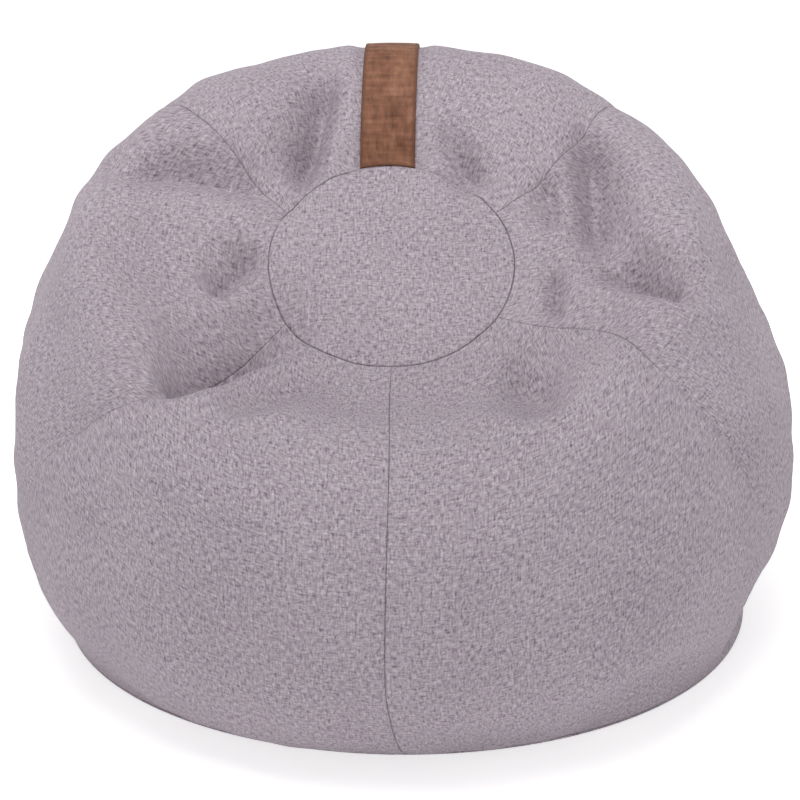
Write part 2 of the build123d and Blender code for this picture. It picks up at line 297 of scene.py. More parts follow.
@dataclass(frozen=True)
class HeatherCloth(Finish):
    """Woven upholstery cloth of mixed pale and dark yarns."""

    name: str = "heather_cloth"
    dark: Colour = srgb(126, 114, 124)
    middle: Colour = srgb(172, 160, 169)
    pale: Colour = srgb(210, 200, 207)
    dash: Colour = srgb(104, 92, 103)
    yarn: float = 1.7 * MM
    fleck_width: float = 2.2 * MM
    fleck_length: float = 6.5 * MM
    shares: tuple[float, float, float] = (0.42, 0.34, 0.24)
    contrast: float = 1.55
    dash_level: float = 0.36
    dash_edge: float = 8.0
    dash_strength: float = 0.54
    cloud_size: float = 9.0
    cloud_strength: float = 0.10

    def paint(self, graph: ShaderGraph) -> None:
        """Pale flecks and dark dashes along the warp and across it, over a plain weave."""
        place = graph.cloth_place()
        wide, long = 1.0 / self.fleck_width, 1.0 / self.fleck_length
        warp = graph.noise(place, (wide, long, 1.0), 1.0)
        weft = graph.noise(place, (long, wide, 1.0), 1.0)
        fuzz = graph.noise(place, (1.5 * wide, 1.5 * wide, 1.0), 1.0)
        cloud = graph.noise(place, (self.cloud_size, self.cloud_size, 1.0), 2.0)
        mixed = self.shares[0] * warp + self.shares[1] * weft + self.shares[2] * fuzz
        dashes = sum(((self.dash_level - yarns) * self.dash_edge).held() for yarns in (warp, weft))
        tone = ((mixed - 0.5) * self.contrast + 0.5 + (cloud - 0.5) * self.cloud_strength).held()
        colour = graph.ramp(tone, ((0.22, self.dark), (0.5, self.middle), (0.78, self.pale)))
        flecked = graph.blend((self.dash_strength * dashes).held(), colour, self.dash)
        across, along, _ = graph.split(place)
        turn = 2.0 * math.pi / self.yarn
        weave = (across * turn).sine() * (along * turn).sine()
        height = 0.5 * weave + 1.3 * mixed
        graph.surface(
            Base_Color=flecked,
            Roughness=0.98 - 0.16 * tone,
            Normal=graph.bump(height, 0.5 * MM, 0.45),
            Sheen_Weight=0.22,
            Sheen_Roughness=0.55,
            Sheen_Tint=srgb(214, 206, 214),
            Specular_IOR_Level=0.18,
        )


@dataclass(frozen=True)
class StrapLeather(Finish):
    """Brown grained strap leather with paler worn patches, and painted shade darkening it along its edges and
    at its ends.
    """

    name: str = "grained_leather"
    deep: Colour = srgb(88, 53, 36)
    middle: Colour = srgb(130, 87, 66)
    worn: Colour = srgb(160, 116, 92)
    grain: float = 1.4 * MM
    base_tone: float = 0.46
    # How strongly the painted shade darkens the strap's edges and ends.
    edge_painted_shade: float = 0.7

    def paint(self, graph: ShaderGraph) -> None:
        """Pebbled grain, creases across the strap, soft tone changes, and painted shade along the edges and
        ends.
        """
        place = graph.cloth_place()
        cells = graph.node(
            "ShaderNodeTexVoronoi",
            {"feature": "SMOOTH_F1"},
            {"Vector": place, "Scale": 1.0 / self.grain, "Smoothness": 0.6},
        )
        cloud = graph.noise(place, (34.0, 26.0, 1.0), 3.0, 0.6)
        scuff = graph.noise(place, (160.0, 60.0, 1.0), 3.0, 0.65)
        crease = graph.noise(place, (14.0, 150.0, 1.0), 2.0)
        # Painted shade: this attribute is 1 at the strap's edges and ends, where the leather is darkened.
        edge = graph.node("ShaderNodeAttribute", {"attribute_name": PAINTED_EDGE_SHADE}, output="Fac")
        tone = ((cloud - 0.5) * 1.3 + (scuff - 0.5) * 1.0 + (crease - 0.5) * 0.9 + self.base_tone).held()
        colour = graph.ramp(tone, ((0.1, self.deep), (0.5, self.middle), (0.95, self.worn)))
        # Painted shade: blend the leather towards its deep brown along the edges and at the ends.
        shaded = graph.blend(self.edge_painted_shade * edge, colour, self.deep)
        height = 0.5 * cells + 0.5 * scuff + 1.6 * crease
        graph.surface(
            Base_Color=shaded,
            Roughness=0.62 + 0.2 * scuff,
            Normal=graph.bump(height, 0.3 * MM, 0.6),
            Specular_IOR_Level=0.3,
        )


@dataclass(frozen=True)
class WovenTape(Finish):
    """Close herringbone tape."""

    name: str
    ground: Colour
    lit: Colour
    rib: float = 1.0 * MM

    def paint(self, graph: ShaderGraph) -> None:
        """Slanted ribs that turn at the middle of each stripe."""
        place = graph.cloth_place()
        across, along, _ = graph.split(place)
        turn = 2.0 * math.pi / self.rib
        slant = (across * (turn / 5.0)).sine() * 1.6
        ribs = (along * turn + slant).sine() * 0.5 + 0.5
        wear = graph.noise(place, (300.0, 90.0, 1.0), 3.0)
        tone = (0.6 * ribs + 0.4 * wear).held()
        graph.surface(
            Base_Color=graph.ramp(tone, ((0.2, self.ground), (0.85, self.lit))),
            Roughness=0.9 - 0.15 * wear,
            Normal=graph.bump(ribs, 0.15 * MM, 0.5),
            Sheen_Weight=0.1,
        )


@dataclass(frozen=True)
class MouldedTeeth(Finish):
    """Matt moulded plastic of the zip's teeth."""

    name: str = "moulded_teeth"
    ground: Colour = srgb(150, 139, 147)
    rubbed: Colour = srgb(178, 168, 175)

    def paint(self, graph: ShaderGraph) -> None:
        """Fine moulding texture with paler rubbed patches."""
        place = graph.object_place()
        rub = graph.noise(place, (220.0, 220.0, 220.0), 3.0)
        fine = graph.noise(place, (2600.0, 2600.0, 2600.0), 1.0)
        graph.surface(
            Base_Color=graph.ramp(rub, ((0.35, self.ground), (0.7, self.rubbed))),
            Roughness=0.42 + 0.2 * fine,
            Normal=graph.bump(fine, 0.05 * MM, 0.3),
        )


@dataclass(frozen=True)
class ZipMetal(Finish):
    """Brushed grey slider metal with brighter worn spots."""

    name: str = "zip_alloy"
    ground: Colour = srgb(122, 118, 120)
    worn: Colour = srgb(190, 187, 188)

    def paint(self, graph: ShaderGraph) -> None:
        """Fine brushing along the zip and wear in patches."""
        place = graph.object_place()
        brushed = graph.noise(place, (300.0, 3000.0, 3000.0), 2.0)
        wear = graph.noise(place, (260.0, 260.0, 260.0), 4.0, 0.6)
        graph.surface(
            Base_Color=graph.ramp(wear, ((0.4, self.ground), (0.72, self.worn))),
            Metallic=1.0,
            Roughness=0.28 + 0.25 * brushed,
            Normal=graph.bump(brushed, 0.02 * MM, 0.25),
        )


@dataclass(frozen=True)
class LinerCloth(Finish):
    """Thin plain-woven undyed liner cloth."""

    name: str = "liner_cloth"
    ground: Colour = srgb(198, 193, 182)
    pale: Colour = srgb(232, 228, 219)
    thread: float = 0.9 * MM
    slub_width: float = 1.0 / 700.0
    slub_length: float = 1.0 / 30.0

    def paint(self, graph: ShaderGraph) -> None:
        """A plain weave with uneven threads and the odd slub."""
        place = graph.cloth_place()
        across, along, _ = graph.split(place)
        turn = 2.0 * math.pi / self.thread
        weave = (across * turn).sine() * (along * turn).sine() * 0.5 + 0.5
        short, long = 1.0 / self.slub_width, 1.0 / self.slub_length
        slub = sum(graph.noise(place, (*way, 1.0), 2.0) * 0.5 for way in ((long, short), (short, long)))
        tone = (0.35 * weave + 1.3 * (slub - 0.5) + 0.4).held()
        graph.surface(
            Base_Color=graph.ramp(tone, ((0.2, self.ground), (0.8, self.pale))),
            Roughness=0.94 - 0.1 * weave,
            Normal=graph.bump(weave + slub, 0.12 * MM, 0.4),
            Sheen_Weight=0.08,
        )


@dataclass(frozen=True)
class FoamBeads(Finish):
    """White foam beads packed side by side."""

    name: str = "foam_beads"
    bead: float = 4.5 * MM
    # The colour of the painted shade in the gaps between beads.
    gap_painted_shade: Colour = srgb(176, 176, 178)
    white: Colour = srgb(244, 244, 243)

    def paint(self, graph: ShaderGraph) -> None:
        """Round cells, with painted shade darkening the gaps between the beads."""
        place = graph.object_place()
        cells = graph.node(
            "ShaderNodeTexVoronoi", {"feature": "F1"}, {"Vector": place, "Scale": 1.0 / self.bead}
        )
        # Painted shade: the colour darkens from each bead's round top towards the gaps between beads.
        round_top = (1.0 - cells * 1.3).held()
        graph.surface(
            Base_Color=graph.ramp(round_top, ((0.1, self.gap_painted_shade), (0.55, self.white))),
            Roughness=0.7 - 0.15 * round_top,
            Normal=graph.bump(round_top, 1.4 * MM, 0.8),
        )


@dataclass(frozen=True)
class SewingThread(Finish):
    """Twisted sewing thread."""

    name: str
    ground: Colour
    lit: Colour

    def paint(self, graph: ShaderGraph) -> None:
        """Fine twist lines over two close shades."""
        place = graph.object_place()
        twist = graph.noise(place, (1800.0, 1800.0, 1800.0), 2.0)
        graph.surface(
            Base_Color=graph.ramp(twist, ((0.3, self.ground), (0.7, self.lit))),
            Roughness=0.62 + 0.2 * twist,
            Normal=graph.bump(twist, 0.08 * MM, 0.4),
        )


HEATHER = HeatherCloth()
LEATHER = StrapLeather()
LINING_TAPE = WovenTape("strap_lining_tape", srgb(72, 50, 40), srgb(110, 82, 68), 1.3 * MM)
ZIP_TAPE = WovenTape("zip_tape_weave", srgb(140, 129, 137), srgb(176, 166, 173))
PATCH_WEB = WovenTape("patch_web", srgb(150, 142, 140), srgb(186, 179, 176), 1.6 * MM)
TEETH = MouldedTeeth()
METAL = ZipMetal()
LINER_WEAVE = LinerCloth()
BEADS = FoamBeads()
BROWN_THREAD = SewingThread("brown_thread", srgb(88, 58, 44), srgb(122, 86, 68))
GREY_THREAD = SewingThread("grey_thread", srgb(140, 129, 137), srgb(182, 172, 179))


@dataclass(frozen=True)
class PhotoView:
    """The camera, and where points of the chair fall in its square picture."""

    azimuth: float = 0.0
    elevation: float = 24.0
    distance: float = 3.2
    target: tuple[float, float, float] = (0.0, 0.0, 0.251)
    focal: float = 2884.0
    picture: float = 800.0
    sensor: float = 36.0

    def axes(self) -> tuple[np.ndarray, np.ndarray, np.ndarray]:
        """The picture's right and up, and the way back to the camera."""
        turn, rise = math.radians(self.azimuth), math.radians(self.elevation)
        right = np.array([math.cos(turn), math.sin(turn), 0.0])
        level = np.array([math.sin(turn), -math.cos(turn), 0.0])
        back = level * math.cos(rise) + np.array([0.0, 0.0, math.sin(rise)])
        return right, np.cross(back, right), back

    def place(self) -> np.ndarray:
        """Where the camera stands."""
        return np.array(self.target) + self.axes()[2] * self.distance

    def pixels(self, points: np.ndarray) -> tuple[np.ndarray, np.ndarray]:
        """The picture's x and y of points."""
        right, up, back = self.axes()
        ray = points - self.place()
        depth = -(ray @ back)
        middle = self.picture / 2.0
        return middle + self.focal * (ray @ right) / depth, middle - self.focal * (ray @ up) / depth

    def facing(self, points: np.ndarray, normals: np.ndarray) -> np.ndarray:
        """How squarely surfaces face the camera, from 0 at the outline."""
        return np.sum(unit(self.place() - points) * normals, axis=-1)

    def build(self) -> None:
        """Put the camera in the scene."""
        data = bpy.data.cameras.new("photo_camera")
        data.sensor_width = self.sensor
        data.lens = self.focal / self.picture * self.sensor
        camera = bpy.data.objects.new("photo_camera", data)
        bpy.context.scene.collection.objects.link(camera)
        camera.location = self.place()
        camera.rotation_euler = (math.radians(90.0 - self.elevation), 0.0, math.radians(self.azimuth))
        bpy.context.scene.camera = camera


FRONT_VIEW = PhotoView()
BACK_VIEW = PhotoView(azimuth=180.0)


def rounded(course: Sequence[tuple[float, float]], times: int = 2) -> np.ndarray:
    """Cut the corners of a course until it runs smoothly.

    Args:
        course: its points.
        times: how often the corners are cut.

    Returns:
        The points of the smoother course, from the same start to the same end.
    """
    stops = np.array(course, dtype=float)
    for _ in range(times):
        early, late = 0.75 * stops[:-1] + 0.25 * stops[1:], 0.25 * stops[:-1] + 0.75 * stops[1:]
        inner = np.stack([early, late], axis=1).reshape(-1, 2)[1:-1]
        stops = np.vstack([stops[:1], inner, stops[-1:]])
    return stops


@dataclass(frozen=True)
class Fold:
    """A valley in the stuffed cloth, or a ridge if its depth is negative.

    Its course is given as it shows in a view's 800 px picture. Its flanks are how wide it is, in
    pixels, to the right and to the left of the way along it, and its depth is in millimetres.
    """

    course: tuple[tuple[float, float], ...]
    flanks: tuple[float, float]
    depth: float
    lip: float = 0.08
    view: PhotoView = FRONT_VIEW
    sharpness: float = 1.5
    lip_place: float = 2.0
    lip_width: float = 0.9
    end_run: float = 0.35
    end_depth: float = 0.1
    outline_fade: float = 0.28

    def push(self, points: np.ndarray, normals: np.ndarray, spread: float = 1.0) -> np.ndarray:
        """How far each point moves out, in metres.

        Args:
            points: places on the cloth.
            normals: the cloth's outward directions there.
            spread: how much wider the valley is in a layer inside, which has no lips.

        Returns:
            The move along the normal, below 0 for inwards.
        """
        x, y = self.view.pixels(points)
        away, share, on_right = self._nearest(x, y)
        near = away / np.where(on_right, *self.flanks) / spread
        valley = np.exp(-(near**self.sharpness))
        if spread == 1.0:
            valley -= self.lip * np.exp(-(((near - self.lip_place) / self.lip_width) ** 2))
        ends = smooth(share / self.end_run) * smooth((1.0 - share) / self.end_run)
        taper = self.end_depth + (1.0 - self.end_depth) * ends
        seen = smooth(self.view.facing(points, normals) / self.outline_fade)
        return -self.depth * MM * valley * taper * seen

    def _nearest(self, x: np.ndarray, y: np.ndarray) -> tuple[np.ndarray, np.ndarray, np.ndarray]:
        """The pixel distance to the course, how far along it that is, and whether to its right."""
        stops = rounded(self.course)
        runs = np.linalg.norm(np.diff(stops, axis=0), axis=1)
        total, start = runs.sum(), 0.0
        best, share, on_right = np.full_like(x, np.inf), np.zeros_like(x), np.zeros(x.shape, dtype=bool)
        for first, last, run in zip(stops, stops[1:], runs):
            way = (last - first) / run
            over, down = x - first[0], y - first[1]
            along = np.clip(over * way[0] + down * way[1], 0.0, run)
            away = np.hypot(over - along * way[0], down - along * way[1])
            nearer = away < best
            best = np.where(nearer, away, best)
            share = np.where(nearer, (start + along) / total, share)
            on_right = np.where(nearer, way[0] * down > way[1] * over, on_right)
            start += run
        return best, share, on_right


@dataclass(frozen=True)
class Lumps:
    """Gentle unevenness of cloth over beads, as a sum of slow waves."""

    seed: int
    height: float
    length: float
    waves: int = 28
    spread: tuple[float, float] = (0.7, 1.6)

    def push(self, points: np.ndarray) -> np.ndarray:
        """How far each point stands out, in metres."""
        draw = np.random.default_rng(self.seed)
        ways = unit(draw.normal(size=(self.waves, 3)))
        lengths = self.length * draw.uniform(*self.spread, self.waves)
        phases = draw.uniform(0.0, 2.0 * math.pi, self.waves)
        total = np.zeros(points.shape[:-1])
        for way, length, phase in zip(ways, lengths, phases):
            total += np.sin(points @ way * (2.0 * math.pi / length) + phase)
        return total * self.height * math.sqrt(2.0 / self.waves)


FRONT_FOLDS = (
    Fold(((341, 44), (328, 96), (314, 146), (290, 198)), (30, 12), 56.0),
    Fold(((296, 202), (246, 180), (176, 166), (80, 170)), (20, 15), 31.0),
    Fold(((258, 236), (240, 268), (196, 288)), (27, 13), 37.0),
    Fold(((322, 340), (272, 336), (216, 356), (122, 400)), (33, 13), 48.0),
    Fold(((345, 366), (280, 388), (190, 418)), (28, 12), 12.0),
    Fold(((424, 104), (450, 148), (494, 190)), (24, 14), 35.0),
    Fold(((584, 100), (587, 170), (596, 235), (612, 264)), (16, 28), 46.0),
    Fold(((586, 262), (640, 276), (724, 288)), (13, 27), 46.0),
    Fold(((546, 166), (556, 232)), (16, 14), 24.0),
    Fold(((556, 258), (557, 322)), (10, 9), 18.0),
    Fold(((500, 350), (540, 372), (552, 424)), (38, 26), 22.0),
    Fold(((720, 425), (768, 512)), (14, 14), 4.0),
    Fold(((575, 718), (650, 688), (706, 654), (730, 638)), (13, 8), 13.0),
)
RIM_FOLDS = (
    Fold(((325, 176), (355, 158), (391, 152), (428, 158), (458, 176)), (9, 24), 13.0),
    Fold(((350, 180), (391, 177), (434, 181)), (7, 10), 4.0),
)
BACK_FOLDS = (
    Fold(((235, 180), (300, 240), (325, 330)), (20, 20), 7.0, 0.4, BACK_VIEW),
    Fold(((575, 165), (520, 250), (495, 345)), (20, 20), 6.0, 0.4, BACK_VIEW),
    Fold(((120, 420), (190, 470), (240, 560)), (18, 18), 5.0, 0.4, BACK_VIEW),
    Fold(((690, 400), (630, 470), (585, 560)), (18, 18), 5.0, 0.4, BACK_VIEW),
    Fold(((300, 600), (400, 570), (500, 604)), (20, 20), 4.0, 0.3, BACK_VIEW),
)


@dataclass(frozen=True)
class Ring:
    """One level of the bag, in shares of half depth, height and half width.

    Its seams are the angles of the front seam and of the lower right, upper right, upper left and
    lower left seams.
    """

    front_y: float
    front_z: float
    back_y: float
    back_z: float
    half_width: float
    lean: float
    seams: tuple[float, float, float, float, float]


RIM_SEAMS = (-90.0, -31.5, 31.3, 148.0, 211.4)
OUTLINE = (
    Ring(-0.465, 0.594, 0.170, 0.889, 0.439, -9.0 * MM, (-90.3, -31.3, 36.0, 140.2, 218.3)),
    Ring(-0.537, 0.583, 0.227, 0.927, 0.572, -9.0 * MM, (-90.4, -31.1, 41.9, 134.7, 222.7)),
    Ring(-0.740, 0.584, 0.366, 0.990, 0.727, -9.0 * MM, (-90.3, -35.0, 44.4, 135.4, 225.1)),
    Ring(-0.920, 0.484, 0.694, 0.916, 0.853, -6.0 * MM, (-91.0, -32.0, 42.0, 138.0, 215.4)),
    Ring(-0.995, 0.331, 0.926, 0.656, 0.977, -1.0 * MM, (-91.9, -27.8, 38.0, 142.0, 205.0)),
    Ring(-0.995, 0.182, 1.000, 0.364, 1.000, 1.0 * MM, (-91.9, -23.0, 34.0, 146.0, 199.0)),
    Ring(-0.900, 0.058, 0.900, 0.116, 0.923, 1.0 * MM, (-90.2, -22.5, 31.0, 149.0, 199.0)),
    Ring(-0.790, 0.000, 0.794, 0.000, 0.896, 6.0 * MM, (-89.3, -23.0, 30.0, 150.0, 202.0)),
)


@dataclass(frozen=True)
class Layer:
    """How far one layer of the bag lies inside the cover's outer face."""

    inset: float = 0.0
    cap_drop: float = 0.0
    floor: float = 0.0
    fold_spread: float = 1.0


COVER_LAYER = Layer()
LINER_LAYER = Layer(11.4 * MM, 10.0 * MM, 1.7 * MM, 1.6)
BEAD_LAYER = Layer(20.2 * MM, 18.0 * MM, 11.6 * MM, 2.0)


@dataclass
class Patch:
    """A grid of points on the bag, row by row from the top panel down."""

    points: np.ndarray
    normals: np.ndarray
    across: np.ndarray
    along: np.ndarray

    def area(self) -> float:
        """The grid's surface in square metres."""
        down = np.diff(self.points, axis=0)[:, :-1]
        over = np.diff(self.points, axis=1)[:-1]
        return float(np.linalg.norm(np.cross(down, over), axis=-1).sum())

    def flat_size(self) -> tuple[float, float]:
        """The greatest width and length of the cut, in metres."""
        return float(self.across[:, -1].max()), float(self.along[-1].max())


@dataclass
class BagForm:
    """The slumped bag's smooth outer face, worked out from the frame."""

    width: float
    depth: float
    height: float
    cap_radius: float = 131.0 * MM
    cap_tilt: float = 33.8
    cap_middle: tuple[float, float] = (-0.139, 0.728)
    cap_lean: float = -9.0 * MM
    steps: int = 420
    probe: float = 0.5
    top_share: float = 0.07
    foot_share: float = 0.05

    @classmethod
    def from_frame(cls) -> "BagForm":
        """Read the bag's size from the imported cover."""
        lows, highs = zip(*(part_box(f"gore_{name}") for name in GORE_NAMES))
        low, high = np.min(lows, axis=0), np.max(highs, axis=0)
        return cls(*(float(side) for side in high - low))

    def cap_axes(self) -> tuple[np.ndarray, np.ndarray, np.ndarray]:
        """The top panel's own x, y and outward axes."""
        tilt = math.radians(self.cap_tilt)
        normal = np.array([0.0, -math.sin(tilt), math.cos(tilt)])
        return np.array([1.0, 0.0, 0.0]), np.array([0.0, math.cos(tilt), math.sin(tilt)]), normal

    def cap_origin(self) -> np.ndarray:
        """The middle of the top panel's rim."""
        y, z = self.cap_middle
        return np.array([self.cap_lean, y * self.depth / 2.0, z * self.height])

    def floor_reach(self, inset: float) -> tuple[float, float]:
        """Half the width and half the depth of the outline on the floor, less an inset."""
        ring = OUTLINE[-1]
        return ring.half_width * self.width / 2.0 - inset, ring.back_y * self.depth / 2.0 - inset

    def levels(self, angles: np.ndarray) -> np.ndarray:
        """Points of every ring.

        Args:
            angles: degrees from +X, one row for each ring, the top panel's rim first.

        Returns:
            The points, ring by ring.
        """
        turns = np.radians(angles)
        cosine, sine = np.cos(turns)[..., None], np.sin(turns)[..., None]
        x_axis, y_axis, _ = self.cap_axes()
        rim = self.cap_origin() + self.cap_radius * (cosine[0] * x_axis + sine[0] * y_axis)
        rows = [rim]
        scale = np.array([1.0, self.depth / 2.0, self.height])
        for index, ring in enumerate(OUTLINE, start=1):
            front = np.array([ring.lean, ring.front_y, ring.front_z]) * scale
            back = np.array([ring.lean, ring.back_y, ring.back_z]) * scale
            side = np.array([ring.half_width * self.width / 2.0, 0.0, 0.0])
            rows.append((front + back) / 2.0 + side * cosine[index] + (back - front) / 2.0 * sine[index])
        return np.array(rows)

    def seam_table(self) -> np.ndarray:
        """Each ring's seam angles from the front seam round to itself, the top panel's rim first."""
        seams = np.array([RIM_SEAMS] + [ring.seams for ring in OUTLINE])
        back = np.full(len(seams), BACK_TURN)
        return np.column_stack([seams[:, :3], back, seams[:, 3:], seams[:, 0] + FULL_TURN])

    def gore_patch(self, index: int, columns: np.ndarray, rows: np.ndarray, layer: Layer) -> Patch:
        """The grid of one gore.

        Args:
            index: the gore's place anticlockwise from the front seam.
            columns: shares of the way from its first seam to its second.
            rows: shares of the way down.
            layer: which layer of the bag.

        Returns:
            The gore's points and outward directions.
        """
        seams = self.seam_table()
        angles = seams[:, index, None] + (seams[:, index + 1] - seams[:, index])[:, None] * columns
        return self.lay(angles, rows, layer)

    def lay(self, angles: np.ndarray, rows: np.ndarray, layer: Layer) -> Patch:
        """A grid over the bag along meridians.

        Args:
            angles: each meridian's angle on each ring.
            rows: shares of the way down.
            layer: which layer of the bag.

        Returns:
            The grid, with the same outward directions at a seam from both of its sides.
        """
        points, ahead, behind = (
            smooth_columns(self.levels(angles + turn), rows, self.steps)
            for turn in (0.0, self.probe, -self.probe)
        )
        normals = unit(np.cross(np.gradient(points, axis=0), ahead - behind))
        points = points + self._layer_move(points, normals, rows, layer)
        across = np.linalg.norm(np.diff(points, axis=1, prepend=points[:, :1]), axis=-1).cumsum(axis=1)
        along = np.linalg.norm(np.diff(points, axis=0, prepend=points[:1]), axis=-1).cumsum(axis=0)
        return Patch(points, normals, across, along)

    def _layer_move(
        self, points: np.ndarray, normals: np.ndarray, rows: np.ndarray, layer: Layer
    ) -> np.ndarray:
        """The way from the outer face to a layer inside it."""
        top = smooth(1.0 - rows / self.top_share)[:, None, None]
        foot = smooth(1.0 - (1.0 - rows) / self.foot_share)[:, None, None]
        under_cap = -self.cap_axes()[2] * layer.cap_drop
        inward = -unit(points * np.array([1.0, 1.0, 0.0])) * layer.inset + np.array([0.0, 0.0, layer.floor])
        return top * under_cap + foot * inward - (1.0 - top - foot) * normals * layer.inset


def smooth_columns(knots: np.ndarray, rows: np.ndarray, steps: int) -> np.ndarray:
    """Natural cubic curves through the columns of a grid.

    Args:
        knots: points, level by level.
        rows: shares of each curve's length to return.
        steps: how finely the length is measured.

    Returns:
        One row of points for each share.
    """
    levels, columns, _ = knots.shape
    hops = np.linalg.norm(np.diff(knots, axis=0), axis=2)
    times = np.vstack([np.zeros(columns), np.cumsum(hops, axis=0)])
    matrix, right = np.zeros((columns, levels, levels)), np.zeros((columns, levels, 3))
    matrix[:, 0, 0] = matrix[:, -1, -1] = 1.0
    slopes = np.diff(knots, axis=0) / hops[..., None]
    for level in range(1, levels - 1):
        matrix[:, level, level - 1] = hops[level - 1]
        matrix[:, level, level] = 2.0 * (hops[level - 1] + hops[level])
        matrix[:, level, level + 1] = hops[level]
        right[:, level] = 6.0 * (slopes[level] - slopes[level - 1])
    bends = np.linalg.solve(matrix, right).transpose(1, 0, 2)
    time = np.linspace(0.0, 1.0, steps)[:, None] * times[-1]
    span = (time[:, None] >= times[None, 1:-1]).sum(axis=1)
    column = np.arange(columns)[None]
    hop = hops[span, column][..., None]
    after, before = (time - times[span, column])[..., None], (times[span + 1, column] - time)[..., None]
    low, high = bends[span, column], bends[span + 1, column]
    curve = (low * before**3 + high * after**3) / (6.0 * hop)
    curve += (knots[span, column] / hop - low * hop / 6.0) * before
    curve += (knots[span + 1, column] / hop - high * hop / 6.0) * after
    runs = np.linalg.norm(np.diff(curve, axis=0, prepend=curve[:1]), axis=2).cumsum(axis=0)
    even = np.empty((len(rows), columns, 3))
    for index in range(columns):
        for axis in range(3):
            even[:, index, axis] = np.interp(rows * runs[-1, index], runs[:, index], curve[:, index, axis])
    return even


def link(name: str, mesh: bpy.types.Mesh) -> bpy.types.Object:
    """Put a mesh in the scene as an object at the origin."""
    made = bpy.data.objects.new(name, mesh)
    bpy.context.scene.collection.objects.link(made)
    return made


def grid_object(
    name: str, points: np.ndarray, places: np.ndarray, round_about: bool = False
) -> bpy.types.Object:
    """A smooth mesh over a grid of points.

    Args:
        name: the piece's name.
        points: rows of points, with outside to the left of the way down and across.
        places: each point's place on the cut cloth, in metres.
        round_about: whether the last column joins the first.

    Returns:
        The new object.
    """
    rows, columns, _ = points.shape
    index = np.arange(rows * columns).reshape(rows, columns)
    if round_about:
        index = np.hstack([index, index[:, :1]])
    corners = (index[:-1, :-1], index[1:, :-1], index[1:, 1:], index[:-1, 1:])
    faces = np.stack(corners, axis=-1).reshape(-1, 4)
    mesh = bpy.data.meshes.new(name)
    mesh.from_pydata(points.reshape(-1, 3).tolist(), [], faces.tolist())
    flat = places.reshape(rows, columns, 2)
    if round_about:
        flat = np.concatenate([flat, 2.0 * flat[:, -1:] - flat[:, -2:-1]], axis=1)
    corner_places = (flat[:-1, :-1], flat[1:, :-1], flat[1:, 1:], flat[:-1, 1:])
    layer = mesh.uv_layers.new(name=CLOTH_UV)
    layer.data.foreach_set("uv", np.stack(corner_places, axis=2).reshape(-1))
    mesh.polygons.foreach_set("use_smooth", np.ones(len(mesh.polygons), dtype=bool))
    mesh.update()
    return link(name, mesh)


def thicken(piece: bpy.types.Object, thickness: float) -> None:
    """Give a sheet its thickness, inwards."""
    made = piece.modifiers.new("cloth_thickness", "SOLIDIFY")
    made.thickness = thickness
    made.offset = -1.0
    made.use_even_offset = True


def dress(piece: bpy.types.Object, finish: Finish, node: str | None = None) -> None:
    """Give a piece its finish and body, and hide the CAD node that it stands for."""
    if not piece.data.materials:
        piece.data.materials.append(finish.material())
    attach(piece, CHAIR)
    if node is not None:
        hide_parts(node)
    LOG.info("%s: %d faces", piece.name, len(piece.data.polygons))


def refinish(node: str, finish: Finish) -> None:
    """Give a CAD node that stays a better finish."""
    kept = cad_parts[node]
    if not kept.material_slots:
        kept.data.materials.append(finish.material())
    for place in kept.material_slots:
        place.material = finish.material()
    LOG.info("%s keeps its shape", node)


